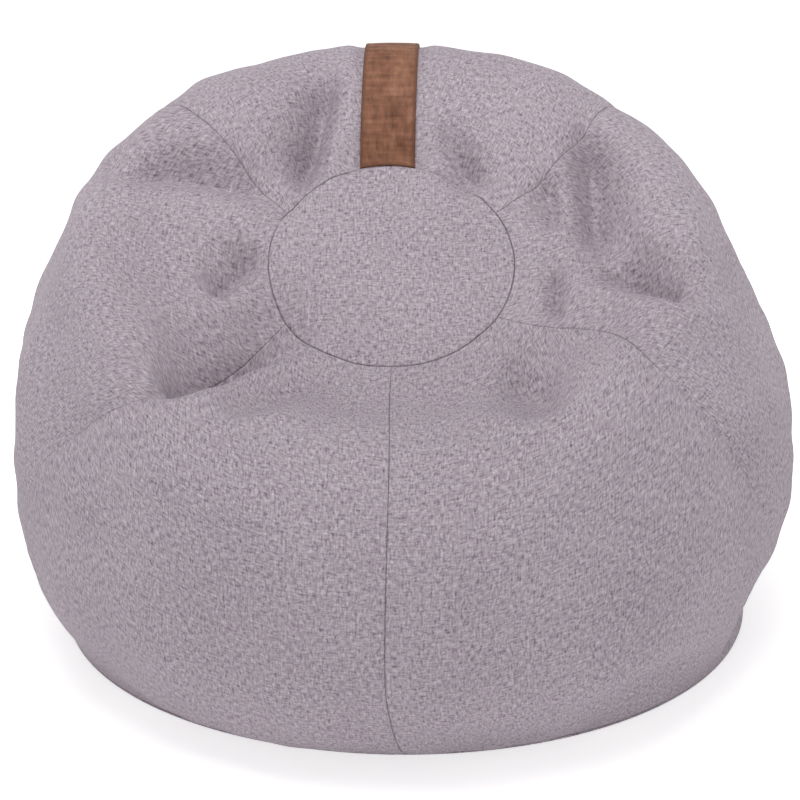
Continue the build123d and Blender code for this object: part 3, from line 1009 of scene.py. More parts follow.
@dataclass
class StitchRows:
    """Rows of short stitches along guide lines, made by Geometry Nodes."""

    pitch: float = 4.6 * MM
    length: float = 3.6 * MM
    thread: float = 0.8 * MM
    height: float = 0.6 * MM
    slant: float = 0.0
    segments: int = 8
    rings: int = 5

    def _tree(self) -> bpy.types.NodeTree:
        """The node tree that sets stitches along a line."""
        known = bpy.data.node_groups.get("stitch_rows")
        if known is not None:
            return known
        tree = bpy.data.node_groups.new("stitch_rows", "GeometryNodeTree")
        face = tree.interface
        face.new_socket("Lines", in_out="INPUT", socket_type="NodeSocketGeometry")
        sizes = ("Pitch", "Length", "Thread", "Height", "Slant")
        for name in sizes:
            face.new_socket(name, in_out="INPUT", socket_type="NodeSocketFloat")
        face.new_socket("Finish", in_out="INPUT", socket_type="NodeSocketMaterial")
        face.new_socket("Stitches", in_out="OUTPUT", socket_type="NodeSocketGeometry")
        graph = NodeGraph(tree)
        given = graph.node("NodeGroupInput").socket.node
        size = {name: Signal(graph, given.outputs[name]) for name in sizes}
        curve = graph.node("GeometryNodeMeshToCurve", {}, {0: Signal(graph, given.outputs["Lines"])})
        points = graph.node(
            "GeometryNodeResampleCurve", {"mode": "LENGTH"}, {"Curve": curve, "Length": size["Pitch"]}
        )
        tangent = graph.node("GeometryNodeInputTangent")
        out = graph.node("GeometryNodeInputNamedAttribute", {"data_type": "FLOAT_VECTOR"}, {"Name": "out"})
        lined = graph.node("FunctionNodeAlignRotationToVector", {"axis": "X"}, {"Vector": tangent})
        turned = graph.node(
            "FunctionNodeAlignRotationToVector",
            {"axis": "Z", "pivot_axis": "X"},
            {"Rotation": lined, "Vector": out},
        )
        lean = graph.node("ShaderNodeCombineXYZ", {}, {2: size["Slant"]})
        turn = graph.node("FunctionNodeEulerToRotation", {}, {0: lean})
        slanted = graph.node(
            "FunctionNodeRotateRotation", {"rotation_space": "LOCAL"}, {0: turned, 1: turn}
        )
        bead = graph.node(
            "GeometryNodeMeshUVSphere", {}, {"Segments": self.segments, "Rings": self.rings, "Radius": 0.5}
        )
        scale = graph.node(
            "ShaderNodeCombineXYZ", {}, {0: size["Length"], 1: size["Thread"], 2: size["Height"]}
        )
        stitch = graph.node("GeometryNodeTransform", {}, {"Geometry": bead, "Scale": scale})
        placed = graph.node(
            "GeometryNodeInstanceOnPoints", {}, {"Points": points, "Instance": stitch, "Rotation": slanted}
        )
        whole = graph.node("GeometryNodeRealizeInstances", {}, {"Geometry": placed})
        rounded = graph.node("GeometryNodeSetShadeSmooth", {}, {0: whole})
        finish = Signal(graph, given.outputs["Finish"])
        dressed = graph.node("GeometryNodeSetMaterial", {}, {"Geometry": rounded, "Material": finish})
        graph.node("NodeGroupOutput", {}, {0: dressed})
        return tree

    def sew(
        self, name: str, lines: Sequence[tuple[np.ndarray, np.ndarray]], finish: Finish
    ) -> bpy.types.Object:
        """Sew rows of stitches.

        Args:
            name: the piece's name.
            lines: for each row its points and the outward directions there.
            finish: the thread.

        Returns:
            All the rows as one plain mesh.
        """
        points = np.concatenate([line for line, _ in lines])
        outs = np.concatenate([out for _, out in lines])
        edges, start = [], 0
        for line, _ in lines:
            edges += [(start + step, start + step + 1) for step in range(len(line) - 1)]
            start += len(line)
        mesh = bpy.data.meshes.new(f"{name}_lines")
        mesh.from_pydata(points.tolist(), edges, [])
        mesh.attributes.new("out", "FLOAT_VECTOR", "POINT").data.foreach_set("vector", outs.reshape(-1))
        guide = link(f"{name}_lines", mesh)
        modifier = guide.modifiers.new("stitches", "NODES")
        modifier.node_group = self._tree()
        values = {
            "Pitch": self.pitch,
            "Length": self.length,
            "Thread": self.thread,
            "Height": self.height,
            "Slant": self.slant,
            "Finish": finish.material(),
        }
        for item in modifier.node_group.interface.items_tree:
            if item.in_out == "INPUT" and item.name in values:
                modifier[item.identifier] = values[item.name]
        shown = guide.evaluated_get(bpy.context.evaluated_depsgraph_get())
        plain = bpy.data.meshes.new_from_object(shown)
        bpy.data.objects.remove(guide)
        plain.name = name
        return link(name, plain)


@dataclass
class Cover:
    """The outer cover above the floor: six gores and the round top panel."""

    form: BagForm
    cloth: float = 1.4 * MM
    columns: int = 161
    rows: int = 261
    rim_blend: float = 40.0 * MM
    floor_fade: float = 20.0 * MM
    draw: float = 4.0 * MM
    back_draw: float = 1.0 * MM
    draw_reach: float = 45.0 * MM
    groove: float = 1.6 * MM
    groove_width: float = 2.4 * MM
    pucker: float = 0.7 * MM
    pucker_pitch: float = 17.0 * MM
    pucker_reach: float = 22.0 * MM
    pucker_gap: float = 6.0 * MM
    pucker_drift: float = 50.0 * MM
    calm_from: float = 34.0 * MM
    calm_to: float = 85.0 * MM
    calm_behind: float = 60.0 * MM
    calm_floor: float = 20.0 * MM
    strap_bed: float = 3.2 * MM
    bed_reach: float = 50.0 * MM
    bed_edge: float = 18.0 * MM
    bed_start: float = 6.0 * MM
    bed_end: float = 520.0 * MM
    bed_fade: float = 80.0 * MM
    show_change: float = 0.2
    show_waves: tuple[float, float] = (2.7 * MM, 11.0 * MM)
    side_seam_show: float = 0.15
    side_seam_end: float = 160.0 * MM
    side_seam_fade: float = 80.0 * MM
    cap_sectors: int = 192
    cap_rings: int = 64
    cap_hub: float = 0.02
    cap_dome: float = 4.0 * MM
    lumps: tuple[Lumps, ...] = (Lumps(11, 2.6 * MM, 0.17), Lumps(12, 0.9 * MM, 0.06))

    def build(self) -> None:
        """Make and dress every panel."""
        for index, name in enumerate(GORE_NAMES):
            self._gore(index, name)
        self._cap()

    def relief(self, points: np.ndarray, normals: np.ndarray, spread: float = 1.0) -> np.ndarray:
        """How far dents, folds and lumps move the cloth, or a layer inside it, along its normal."""
        push = sum(lump.push(points) for lump in self.lumps)
        push = push + sum(fold.push(points, normals, spread) for fold in FRONT_FOLDS + BACK_FOLDS)
        return push * self._calm(points) + self.rim_relief(points, normals, spread)

    @staticmethod
    def rim_relief(points: np.ndarray, normals: np.ndarray, spread: float = 1.0) -> np.ndarray:
        """How far the cloth, and the strap on it, dips behind the top panel."""
        return sum(fold.push(points, normals, spread) for fold in RIM_FOLDS)

    def _calm(self, points: np.ndarray) -> np.ndarray:
        """0 under the strap, where the cloth lies smooth, and near the floor."""
        beside = np.abs(points[..., 0] - self.form.cap_lean)
        off_strap = smooth((beside - self.calm_from) / (self.calm_to - self.calm_from))
        behind_cap = smooth((points[..., 1] - self.form.cap_origin()[1]) / self.calm_behind)
        return (1.0 - behind_cap * (1.0 - off_strap)) * smooth(points[..., 2] / self.calm_floor)

    def _bed(self, points: np.ndarray, along: np.ndarray) -> np.ndarray:
        """How far the strap presses into the cloth under it."""
        beside = np.abs(points[..., 0] - self.form.cap_lean)
        under = smooth((self.bed_reach - beside) / self.bed_edge)
        past = smooth((along - self.bed_end) / self.bed_fade)
        return self.strap_bed * under * smooth(along / self.bed_start) * (1.0 - past)

    def _seam_roll(self, away: np.ndarray) -> np.ndarray:
        """How deep the cloth turns in at a seam, by the distance from it."""
        near = np.clip(1.0 - away / self.groove_width, 0.0, 1.0)
        return self.groove * (1.0 - np.sqrt(np.maximum(1.0 - near * near, 0.0)))

    def _seam_show(self, seam: int, along: np.ndarray) -> np.ndarray:
        """How clearly a seam shows: uneven along its stitches, and faint low on the sides."""
        short, long = self.show_waves
        wave = np.sin(along / short) * np.sin(along / long + seam)
        uneven = 1.0 - self.show_change * (1.0 - wave)
        low = smooth((along - self.side_seam_end) / self.side_seam_fade) if seam in SIDE_SEAMS else 0.0
        return uneven * (1.0 - (1.0 - self.side_seam_show) * low)

    def _gore(self, index: int, name: str) -> None:
        """One gore from the top panel to the floor."""
        patch = self.form.gore_patch(index, crowded(self.columns, 0.7), crowded(self.rows, 0.6), COVER_LAYER)
        first, last = patch.across, patch.across[:, -1:] - patch.across
        sag = np.sin(math.pi * np.clip(patch.along / patch.along[-1:], 0.0, 1.0)) ** 0.5
        cap_normal = self.form.cap_axes()[2]
        ways = cap_normal + (patch.normals - cap_normal) * smooth(patch.along / self.rim_blend)[..., None]
        push = self.relief(patch.points, ways)
        for side, away in ((index, first), (index + 1, last)):
            draw = self.back_draw if side == BACK_SEAM_INDEX else self.draw
            push = push - sag * draw * np.exp(-away / self.draw_reach)
            push = push - self._seam_roll(away) * self._seam_show(side, patch.along)
            drift = 2.0 * np.sin(patch.along / self.pucker_drift)
            gathers = self.pucker * np.sin(2.0 * math.pi * patch.along / self.pucker_pitch + drift)
            push = push + sag * gathers * np.exp(-away / self.pucker_reach) * smooth(away / self.pucker_gap)
        push = push - self._seam_roll(patch.along)
        if BACK_SEAM_INDEX in (index, index + 1):
            push = push - self._bed(patch.points, patch.along)
        points = patch.points + unit(ways) * push[..., None]
        points[..., 2] += 2.0 * self.cloth * np.exp(-points[..., 2] / self.floor_fade)
        grain = patch.across - patch.across[:, -1:] * GRAIN_FROM[index] + index
        piece = grid_object(f"cover_panel_{name}", points, np.stack([grain, patch.along], axis=-1))
        thicken(piece, self.cloth)
        dress(piece, HEATHER, f"gore_{name}")
        patch.flat_size()
        patch.area()

    def _cap(self) -> None:
        """The round top panel."""
        sectors, rings = self.cap_sectors, self.cap_rings
        x_axis, y_axis, normal = self.form.cap_axes()
        radius = self.form.cap_radius
        shares = crowded(2 * rings - 1, 0.6)[rings - 1:] * 2.0 - 1.0
        shares[0] = self.cap_hub
        turns = np.linspace(0.0, 2.0 * math.pi, sectors, endpoint=False)
        flat_x = radius * shares[:, None] * np.cos(turns)
        flat_y = radius * shares[:, None] * np.sin(turns)
        dome = self.cap_dome * (1.0 - shares**2)[:, None] * np.ones(sectors)
        base = self.form.cap_origin() + flat_x[..., None] * x_axis + flat_y[..., None] * y_axis
        normals = np.broadcast_to(normal, base.shape)
        push = dome + self.relief(base, normals) - self._seam_roll(radius * (1.0 - shares))[:, None]
        points = base + normals * push[..., None]
        piece = grid_object("cover_top_panel", points, np.stack([flat_x, flat_y], axis=-1), True)
        close_hole(piece, points[0].mean(axis=0), sectors)
        thicken(piece, self.cloth)
        dress(piece, HEATHER, "cover_cap")


def close_hole(piece: bpy.types.Object, middle: np.ndarray, count: int) -> None:
    """Fan the first row of a grid that goes round to one middle point."""
    shell = bmesh.new()
    shell.from_mesh(piece.data)
    shell.verts.ensure_lookup_table()
    layer = shell.loops.layers.uv.active
    rim = [shell.verts[index] for index in range(count)]
    places = {corner.vert: corner[layer].uv.copy() for vert in rim for corner in vert.link_loops}
    hub = shell.verts.new(middle)
    for index in range(count):
        fan = shell.faces.new((hub, rim[index], rim[(index + 1) % count]))
        fan.smooth = True
        for corner in fan.loops:
            if corner.vert in places:
                corner[layer].uv = places[corner.vert]
    shell.to_mesh(piece.data)
    shell.free()


def close_ends(piece: bpy.types.Object, count: int) -> None:
    """Close both ends of a grid that goes round, and point its faces outwards."""
    shell = bmesh.new()
    shell.from_mesh(piece.data)
    shell.verts.ensure_lookup_table()
    total = len(shell.verts)
    shell.faces.new([shell.verts[index] for index in range(count)])
    shell.faces.new([shell.verts[index] for index in range(total - count, total)])
    bmesh.ops.recalc_face_normals(shell, faces=shell.faces)
    shell.to_mesh(piece.data)
    shell.free()


@dataclass
class Strap:
    """The carrying strap along the back seam, its lining, its stitches and the patch behind it."""

    form: BagForm
    width: float = 60.0 * MM
    leather: float = 2.0 * MM
    lining: float = 0.8 * MM
    clearance: float = 1.05 * MM
    sink: float = 3.2 * MM
    layer_gap: float = 0.1 * MM
    slack: float = 24.0 * MM
    start: float = 0.4 * MM
    start_shift: float = -4.6 * MM
    shift_run: float = 210.0 * MM
    end_bow: float = 30.0 * MM
    front_run: float = 235.0 * MM
    loop_run: float = 210.0 * MM
    sewn_end: float = 70.0 * MM
    patch_depth: float = 2.6 * MM
    patch: float = 1.0 * MM
    seam_inset: float = 3.2 * MM
    crown: float = 0.12
    # How far the painted shade reaches in from the strap's edges and ends, and how softly it fades.
    shade_reach: float = 5.0 * MM
    shade_fade: float = 4.0 * MM
    stitch_slant: float = 28.0
    hug_turn: float = 6.0
    hug_limit: float = 4.0
    loop_hug: float = 0.5
    steps: int = 181
    across: int = 17
    edge_steps: int = 7
    line_steps: int = 900
    row_steps: int = 160

    def __post_init__(self) -> None:
        """Lay out the line that the strap follows."""
        angles = np.tile([BACK_TURN, BACK_TURN + self.hug_turn], (len(OUTLINE) + 1, 1))
        line = self.form.lay(angles, np.linspace(0.0, 1.0, self.line_steps), COVER_LAYER)
        self._line, self._out, self._run = line.points[:, 0], line.normals[:, 0], line.along[:, 0]
        side = line.points[:, 1] - self._line
        drop = -np.sum(side * self._out, axis=1)
        self._hug = np.clip(drop / np.maximum(side[:, 0] ** 2, 1e-9), 0.0, self.hug_limit)
        self.end = self.front_run + self.loop_run + self.sewn_end

    def build(self) -> None:
        """Make and dress the strap's pieces."""
        lining_top = self.clearance + self.lining
        low = lining_top + self.layer_gap
        leather = self._band("carry_strap", self.start, self.end, low, low + self.leather, True)
        dress(leather, LEATHER, "handle_strap")
        lining = self._band("carry_strap_lining", self.start, self.end, self.clearance, lining_top, True)
        dress(lining, LINING_TAPE, "handle_strap_lining")
        under = -self.patch_depth - self.patch
        patch = self._band("strap_patch", self.end - self.sewn_end, self.end, under, -self.patch_depth, False)
        dress(patch, PATCH_WEB, "handle_reinforcement_patch")
        rows = self._rows(low + self.leather)
        stitches = StitchRows(slant=math.radians(self.stitch_slant)).sew("strap_stitches", rows, BROWN_THREAD)
        dress(stitches, BROWN_THREAD)

    def _lift(self, run: np.ndarray) -> np.ndarray:
        """How far the strap stands off the seam: flush, a slack loop for a hand, flush again."""
        share = np.clip((run - self.front_run) / self.loop_run, 0.0, 1.0)
        return self.slack * np.sin(math.pi * share) ** 2

    def _place(self, run: np.ndarray, side: np.ndarray, height: np.ndarray) -> tuple[np.ndarray, np.ndarray]:
        """Places over the back seam.

        Args:
            run: how far along the seam.
            side: how far to the right of it.
            height: how far off the cover.

        Returns:
            The points and the outward directions.
        """
        bow = -(side**2) / (2.0 * self.form.cap_radius) * smooth(1.0 - (run - self.start) / self.end_bow)
        run = run + bow
        line = np.stack([np.interp(run, self._run, self._line[:, axis]) for axis in range(3)], axis=-1)
        line = line + np.minimum(run, 0.0)[..., None] * unit(self._line[1] - self._line[0])
        out = unit(np.stack([np.interp(run, self._run, self._out[:, axis]) for axis in range(3)], axis=-1))
        hug = np.interp(run, self._run, self._hug) * (1.0 - self.loop_hug * self._lift(run) / self.slack)
        right = np.array([1.0, 0.0, 0.0])
        shift = side + self.start_shift * (1.0 - smooth(run / self.shift_run))
        seat = line + right * shift[..., None]
        off = height - self.sink - hug * side**2 + Cover.rim_relief(seat, out)
        tilt = unit(out + right * (2.0 * hug * side)[..., None])
        return seat + out * off[..., None], tilt

    def _band(
        self, name: str, start: float, end: float, low: float, high: float, lifted: bool
    ) -> bpy.types.Object:
        """A soft-edged band along the seam.

        Args:
            name: the piece's name.
            start: where it begins along the seam.
            end: where it ends.
            low: its underside's height over the cover.
            high: its upper side's height.
            lifted: whether it rises into the hand loop.

        Returns:
            The closed band.
        """
        half, thick = self.width / 2.0, high - low
        flat = (half - thick / 2.0) * np.linspace(-1.0, 1.0, self.across)
        turn = np.linspace(0.0, math.pi, self.edge_steps)[1:-1]
        edge = half - thick / 2.0 + thick / 2.0 * np.sin(turn)
        side = np.concatenate([flat, edge, flat[::-1], -edge])
        middle = (low + high) / 2.0
        crown = self.crown * thick * (1.0 - (flat / half) ** 2)
        round_high = middle + thick / 2.0 * np.cos(turn)
        height = np.concatenate([high + crown, round_high, np.full(self.across, low), round_high[::-1]])
        runs = np.linspace(start, end, self.steps)
        run, side = np.meshgrid(runs, side, indexing="ij")
        lift = self._lift(run) if lifted else np.zeros_like(run)
        points, _ = self._place(run, side, height[None] + lift)
        around = np.linalg.norm(np.diff(points, axis=1, prepend=points[:, :1]), axis=-1).cumsum(axis=1)
        piece = grid_object(name, points, np.stack([around, run], axis=-1), True)
        # Painted shade: darker towards the strap's long edges and towards its two ends, stored for the
        # leather's material.
        shade = smooth((np.abs(side) - (half - self.shade_reach)) / self.shade_fade)
        ends = smooth(1.0 - np.minimum(run - start, end - run) / self.shade_reach)
        data = piece.data.attributes.new(PAINTED_EDGE_SHADE, "FLOAT", "POINT").data
        data.foreach_set("value", np.maximum(shade, ends).reshape(-1))
        close_ends(piece, side.shape[1])
        return piece

    def _rows(self, top: float) -> list[tuple[np.ndarray, np.ndarray]]:
        """The stitch lines: both edges, and the crossed box at the back."""
        reach = self.width / 2.0 - self.seam_inset
        first, last = self.start + self.seam_inset, self.end - self.seam_inset
        back = self.end - self.sewn_end + self.seam_inset
        courses = [
            ((first, -reach), (last, -reach)),
            ((first, reach), (last, reach)),
            ((back, -reach), (back, reach)),
            ((last, -reach), (last, reach)),
            ((back, -reach), (last, reach)),
            ((back, reach), (last, -reach)),
        ]
        rows = []
        for (run_from, side_from), (run_to, side_to) in courses:
            run = np.linspace(run_from, run_to, self.row_steps)
            side = np.linspace(side_from, side_to, self.row_steps)
            crown = self.crown * self.leather * (1.0 - (2.0 * side / self.width) ** 2)
            rows.append(self._place(run, side, top + crown + self._lift(run)))
        return rows


@dataclass
class ZipTape:
    """One woven zip tape, lying where its CAD node does."""

    node: str
    across: np.ndarray
    out: np.ndarray
    width: float = 13.0 * MM
    thickness: float = 0.6 * MM
    edge_from: float = 0.8
    edge_thin: float = 0.35
    steps: int = 90
    columns: int = 9

    def build(self) -> None:
        """Make and dress the tape."""
        low, high = (np.array(corner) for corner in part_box(self.node))
        middle, length = (low + high) / 2.0, float(high[0] - low[0])
        along, side = np.meshgrid(
            np.linspace(-length / 2.0, length / 2.0, self.steps),
            np.linspace(-self.width / 2.0, self.width / 2.0, self.columns),
            indexing="ij",
        )
        edge = np.abs(2.0 * side / self.width)
        thin = self.edge_thin * smooth((edge - self.edge_from) / (1.0 - self.edge_from))
        rise = self.thickness / 2.0 * (1.0 - thin)
        points = middle + along[..., None] * np.array([1.0, 0.0, 0.0])
        points = points + side[..., None] * self.across + rise[..., None] * self.out
        piece = grid_object(f"{self.node}_weave", points, np.stack([side, along], axis=-1))
        thicken(piece, self.thickness)
        dress(piece, ZIP_TAPE, self.node)


@dataclass(frozen=True)
class ZipWindow:
    """The slot between two halves of a sheet that a zip's slider runs in, and the seam past its ends."""

    start: float
    end: float
    width: float = 14.0 * MM
    seam_gap: float = 0.8 * MM
    corner: float = 0.2 * MM
    least: float = 0.5 * MM
    crowding: float = 0.5
    share: float = 0.9995

    def columns(self, count: int, reach: float, lean: float = 0.0) -> np.ndarray:
        """Places across a round sheet.

        Args:
            count: how many, besides a close pair at each end of the slot.
            reach: the sheet's half width.
            lean: how far its middle is off the origin.

        Returns:
            The places in order, closer together towards both sides of the sheet.
        """
        span = lean + (2.0 * crowded(count, self.crowding) - 1.0) * reach * self.share
        ends = np.array([self.start, self.end])
        return np.unique(np.concatenate([span, ends - self.corner, ends + self.corner]))

    def half_gap(self, x: np.ndarray) -> np.ndarray:
        """Half the way between the two halves of the sheet."""
        return np.where((x > self.start) & (x < self.end), self.width, self.seam_gap) / 2.0


@dataclass
class BaseAndZip:
    """The base of the cover in two halves, with its zip."""

    form: BagForm
    cloth: float = 1.4 * MM
    window: ZipWindow = ZipWindow(-247.5 * MM, 261.5 * MM)
    zip_half: float = 268.0 * MM
    ramp_foot: float = 40.0 * MM
    ramp_head: float = 20.0 * MM
    land: float = 4.2 * MM
    stitch_inset: float = 2.5 * MM
    stitch_past: float = 6.0 * MM
    stitch_steps: int = 200
    columns: int = 181
    rows: int = 41

    def build(self) -> None:
        """Make and dress the base and the zip."""
        for side, name in HALVES:
            self._half(side, name)
            ZipTape(f"zip_tape_{name}", np.array([0.0, 1.0, 0.0]), np.array([0.0, 0.0, 1.0])).build()
            refinish(f"zip_teeth_{name}", TEETH)
        refinish("zip_slider", METAL)
        refinish("zip_end_stops", METAL)
        self._sewing()

    def _middle(self) -> float:
        """The zip's place between front and back."""
        low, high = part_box("zip_teeth_front")
        other_low, other_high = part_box("zip_teeth_rear")
        return float(low[1] + high[1] + other_low[1] + other_high[1]) / 4.0

    def rise(self, x: np.ndarray, y: np.ndarray) -> np.ndarray:
        """How far the base is lifted over the zip."""
        along = (self.zip_half + self.ramp_foot - np.abs(x)) / (self.ramp_foot - self.ramp_head)
        over = (self.ramp_foot - np.abs(y - self._middle())) / (self.ramp_foot - self.ramp_head)
        return self.land * smooth(np.minimum(along, over))

    def _half(self, side: float, name: str) -> None:
        """One half of the base, from the zip out to the floor seam."""
        reach, depth = self.form.floor_reach(self.cloth)
        lean = OUTLINE[-1].lean
        x = self.window.columns(self.columns, reach, lean)
        inner = self._middle() + side * self.window.half_gap(x)
        outer = side * depth * np.sqrt(1.0 - ((x - lean) / reach) ** 2)
        outer = np.where(side * outer > side * inner, outer, inner + side * self.window.least)
        y = inner + (outer - inner) * np.linspace(0.0, 1.0, self.rows)[:, None]
        x = np.broadcast_to(x, y.shape)
        points = np.stack([x, y, self.rise(x, y)], axis=-1)
        if side < 0.0:
            points = points[:, ::-1]
        piece = grid_object(f"base_{name}_half", points, points[..., :2])
        thicken(piece, self.cloth)
        dress(piece, HEATHER, f"base_panel_{name}")
        2.0 * reach
        math.pi / 2.0 * reach * depth

    def _sewing(self) -> None:
        """The stitches that hold the tapes to the base."""
        rows = []
        down = np.array([0.0, 0.0, -1.0])
        first, last = self.window.start - self.stitch_past, self.window.end + self.stitch_past
        for side, _ in HALVES:
            x = np.linspace(first, last, self.stitch_steps)
            y = np.full_like(x, self._middle() + side * (self.window.width / 2.0 + self.stitch_inset))
            points = np.stack([x, y, self.rise(x, y)], axis=-1)
            rows.append((points, np.broadcast_to(down, points.shape)))
        stitches = StitchRows(pitch=3.4 * MM, length=2.7 * MM).sew("base_zip_stitches", rows, GREY_THREAD)
        dress(stitches, GREY_THREAD)


@dataclass
class Liner:
    """The inner bag: six gores, a zipped round top, a base, and the beads in it."""

    form: BagForm
    cover: Cover
    base: BaseAndZip
    cloth: float = 0.8 * MM
    window: ZipWindow = ZipWindow(-87.5 * MM, 101.5 * MM)
    ridge: float = 8.8 * MM
    fill: float = 0.85
    columns: int = 41
    rows: int = 71
    top_columns: int = 61
    top_rows: int = 15
    base_steps: int = 121
    bead_columns: int = 120
    bead_rows: int = 81

    def build(self) -> None:
        """Make and dress the liner and the beads."""
        for index, name in enumerate(GORE_NAMES):
            self._gore(index, name)
        _, y_axis, normal = self.form.cap_axes()
        for side, name in HALVES:
            self._top(side, name)
            ZipTape(f"liner_zip_tape_{name}", y_axis, normal).build()
            refinish(f"liner_zip_teeth_{name}", TEETH)
        refinish("liner_zip_slider", METAL)
        refinish("liner_zip_end_stops", METAL)
        self._base()
        self._beads()

    def _gore(self, index: int, name: str) -> None:
        """One gore of the liner."""
        columns, rows = crowded(self.columns, 0.5), crowded(self.rows, 0.4)
        layers = (LINER_LAYER, COVER_LAYER)
        patch, outer = (self.form.gore_patch(index, columns, rows, layer) for layer in layers)
        push = self.cover.relief(outer.points, outer.normals, LINER_LAYER.fold_spread)
        points = patch.points + patch.normals * push[..., None]
        points[..., 2] = np.maximum(points[..., 2], LINER_LAYER.floor)
        piece = grid_object(f"liner_panel_{name}", points, np.stack([patch.across, patch.along], axis=-1))
        thicken(piece, self.cloth)
        dress(piece, LINER_WEAVE, f"liner_gore_{name}")
        patch.flat_size()
        patch.area()

    def _top(self, side: float, name: str) -> None:
        """One half of the round top, from its zip to its rim."""
        x_axis, y_axis, normal = self.form.cap_axes()
        radius = self.form.cap_radius - self.window.seam_gap
        x = self.window.columns(self.top_columns, radius)
        inner = side * self.window.half_gap(x)
        outer = side * np.maximum(np.sqrt(radius**2 - x**2), np.abs(inner) + self.window.least)
        y = inner + (outer - inner) * np.linspace(0.0, 1.0, self.top_rows)[:, None]
        x = np.broadcast_to(x, y.shape)
        over = self.form.cap_origin() + x[..., None] * x_axis + y[..., None] * y_axis
        dip = self.cover.relief(over, np.broadcast_to(normal, over.shape), LINER_LAYER.fold_spread)
        points = over + normal * (np.minimum(dip, 0.0) - LINER_LAYER.cap_drop)[..., None]
        places = np.stack([x, y], axis=-1)
        if side > 0.0:
            points, places = points[:, ::-1], places[:, ::-1]
        piece = grid_object(f"liner_top_{name}_half", points, places)
        thicken(piece, self.cloth)
        dress(piece, LINER_WEAVE, f"liner_top_{name}")

    def _base(self) -> None:
        """The liner's base, which arches over the cover's zip."""
        reach, depth = self.form.floor_reach(LINER_LAYER.inset + self.cloth)
        x = (2.0 * crowded(self.base_steps, self.window.crowding) - 1.0) * reach * self.window.share
        half = depth * np.sqrt(1.0 - (x / reach) ** 2)
        y = half * np.linspace(-1.0, 1.0, self.base_steps)[:, None]
        x = np.broadcast_to(x, y.shape)
        lift = self.base.rise(x, y) / self.base.land
        z = LINER_LAYER.floor + (self.ridge - LINER_LAYER.floor) * lift
        points = np.stack([x, y, z], axis=-1)
        piece = grid_object("liner_base_sheet", points, points[..., :2])
        thicken(piece, self.cloth)
        dress(piece, LINER_WEAVE, "liner_base")
        flat = (2.0 * reach, 2.0 * depth)
        math.pi * reach * depth

    def _beads(self) -> None:
        """The beads as one heap that fills the liner."""
        turns = np.linspace(-BACK_TURN, FULL_TURN - BACK_TURN, self.bead_columns, endpoint=False)
        angles, rows = np.tile(turns, (len(OUTLINE) + 1, 1)), crowded(self.bead_rows, 0.3)
        patch, outer = (self.form.lay(angles, rows, layer) for layer in (BEAD_LAYER, COVER_LAYER))
        push = self.cover.relief(outer.points, outer.normals, BEAD_LAYER.fold_spread)
        points = patch.points + patch.normals * push[..., None]
        points[..., 2] = np.maximum(points[..., 2], BEAD_LAYER.floor)
        piece = grid_object("bead_heap", points, np.stack([patch.across, patch.along], axis=-1), True)
        close_ends(piece, points.shape[1])
        dress(piece, BEADS, "bead_fill")


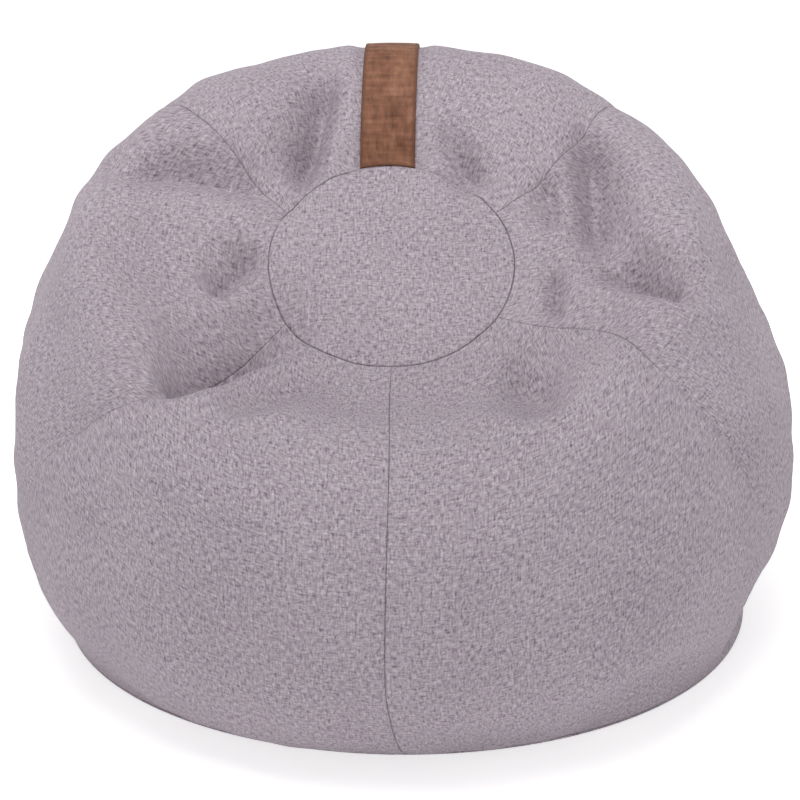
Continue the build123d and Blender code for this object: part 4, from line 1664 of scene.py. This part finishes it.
@dataclass
class Studio:
    """A pale floor, soft light all round and the camera."""

    floor_size: float = 14.0
    floor_drop: float = 1.0 * MM
    floor_colour: Colour = srgb(249, 249, 249)
    floor_glow: float = 0.6
    sky: float = 0.1
    walls: float = 1.74
    wall_rise: float = 0.1
    wall_fade: float = 2.2
    ground: float = 1.6
    horizon: float = 40.0
    key: float = 64.0
    key_size: float = 2.2
    key_place: tuple[float, float, float] = (-0.2, -0.3, 3.3)

    def build(self) -> None:
        """Make the stage."""
        self._floor()
        self._light()
        self._sky()
        FRONT_VIEW.build()
        bpy.context.scene.view_settings.view_transform = "Standard"

    def _floor(self) -> None:
        """A pale floor that keeps the shadow, shows white elsewhere and is clear from below."""
        half = self.floor_size / 2.0
        low = -self.floor_drop
        corners = [(-half, -half, low), (half, -half, low), (half, half, low), (-half, half, low)]
        mesh = bpy.data.meshes.new("floor")
        mesh.from_pydata(corners, [], [(0, 1, 2, 3)])
        floor = link("floor", mesh)
        graph = ShaderGraph("floor_paper")
        paper = graph.node("ShaderNodeBsdfDiffuse", {}, {"Color": self.floor_colour})
        glow = self.floor_glow * graph.rays(*SEEN_RAYS)
        lit = graph.node("ShaderNodeEmission", {}, {"Color": WHITE, "Strength": glow})
        whole = graph.node("ShaderNodeAddShader", {}, {0: paper, 1: lit})
        under = graph.node("ShaderNodeNewGeometry", output="Backfacing") + graph.rays("Shadow")
        clear = graph.node("ShaderNodeBsdfTransparent")
        sided = graph.node("ShaderNodeMixShader", {}, {0: under.held(), 1: whole, 2: clear})
        graph.node("ShaderNodeOutputMaterial", {}, {"Surface": sided})
        mesh.materials.append(graph.material)

    def _light(self) -> None:
        """A square soft light overhead that points at the chair."""
        data = bpy.data.lights.new("key_light", "AREA")
        data.energy = self.key
        data.size = self.key_size
        lamp = bpy.data.objects.new("key_light", data)
        bpy.context.scene.collection.objects.link(lamp)
        lamp.location = self.key_place
        way = np.array(FRONT_VIEW.target) - np.array(self.key_place)
        level = math.hypot(way[0], way[1])
        lamp.rotation_euler = (math.atan2(level, -way[2]), 0.0, math.atan2(-way[0], way[1]))

    def _sky(self) -> None:
        """Pale light, brightest from low on all sides and from the ground, and white to the camera."""
        world = bpy.data.worlds.new("studio")
        world.use_nodes = True
        graph = NodeGraph(world.node_tree)
        way = graph.node("ShaderNodeTexCoord", output="Generated")
        rise = graph.node("ShaderNodeSeparateXYZ", {}, {"Vector": way}, "Z")
        low = (1.0 - (rise - self.wall_rise) * self.wall_fade).held()
        high = (1.0 + rise * self.horizon).held()
        around = self.ground + (self.sky + (self.walls - self.sky) * low - self.ground) * high
        strength = around + (1.0 - around) * graph.rays(*SEEN_RAYS)
        glow = graph.node("ShaderNodeBackground", {}, {"Color": WHITE, "Strength": strength})
        graph.node("ShaderNodeOutputWorld", {}, {"Surface": glow})
        bpy.context.scene.world = world


def main() -> None:
    """Build the chair's looks, piece by piece."""
    logging.basicConfig(level=logging.INFO, format="%(name)s: %(message)s")
    form = BagForm.from_frame()
    Studio().build()
    cover = Cover(form)
    cover.build()
    Strap(form).build()
    base = BaseAndZip(form)
    base.build()
    Liner(form, cover, base).build()


if __name__ == "__main__":
    main()
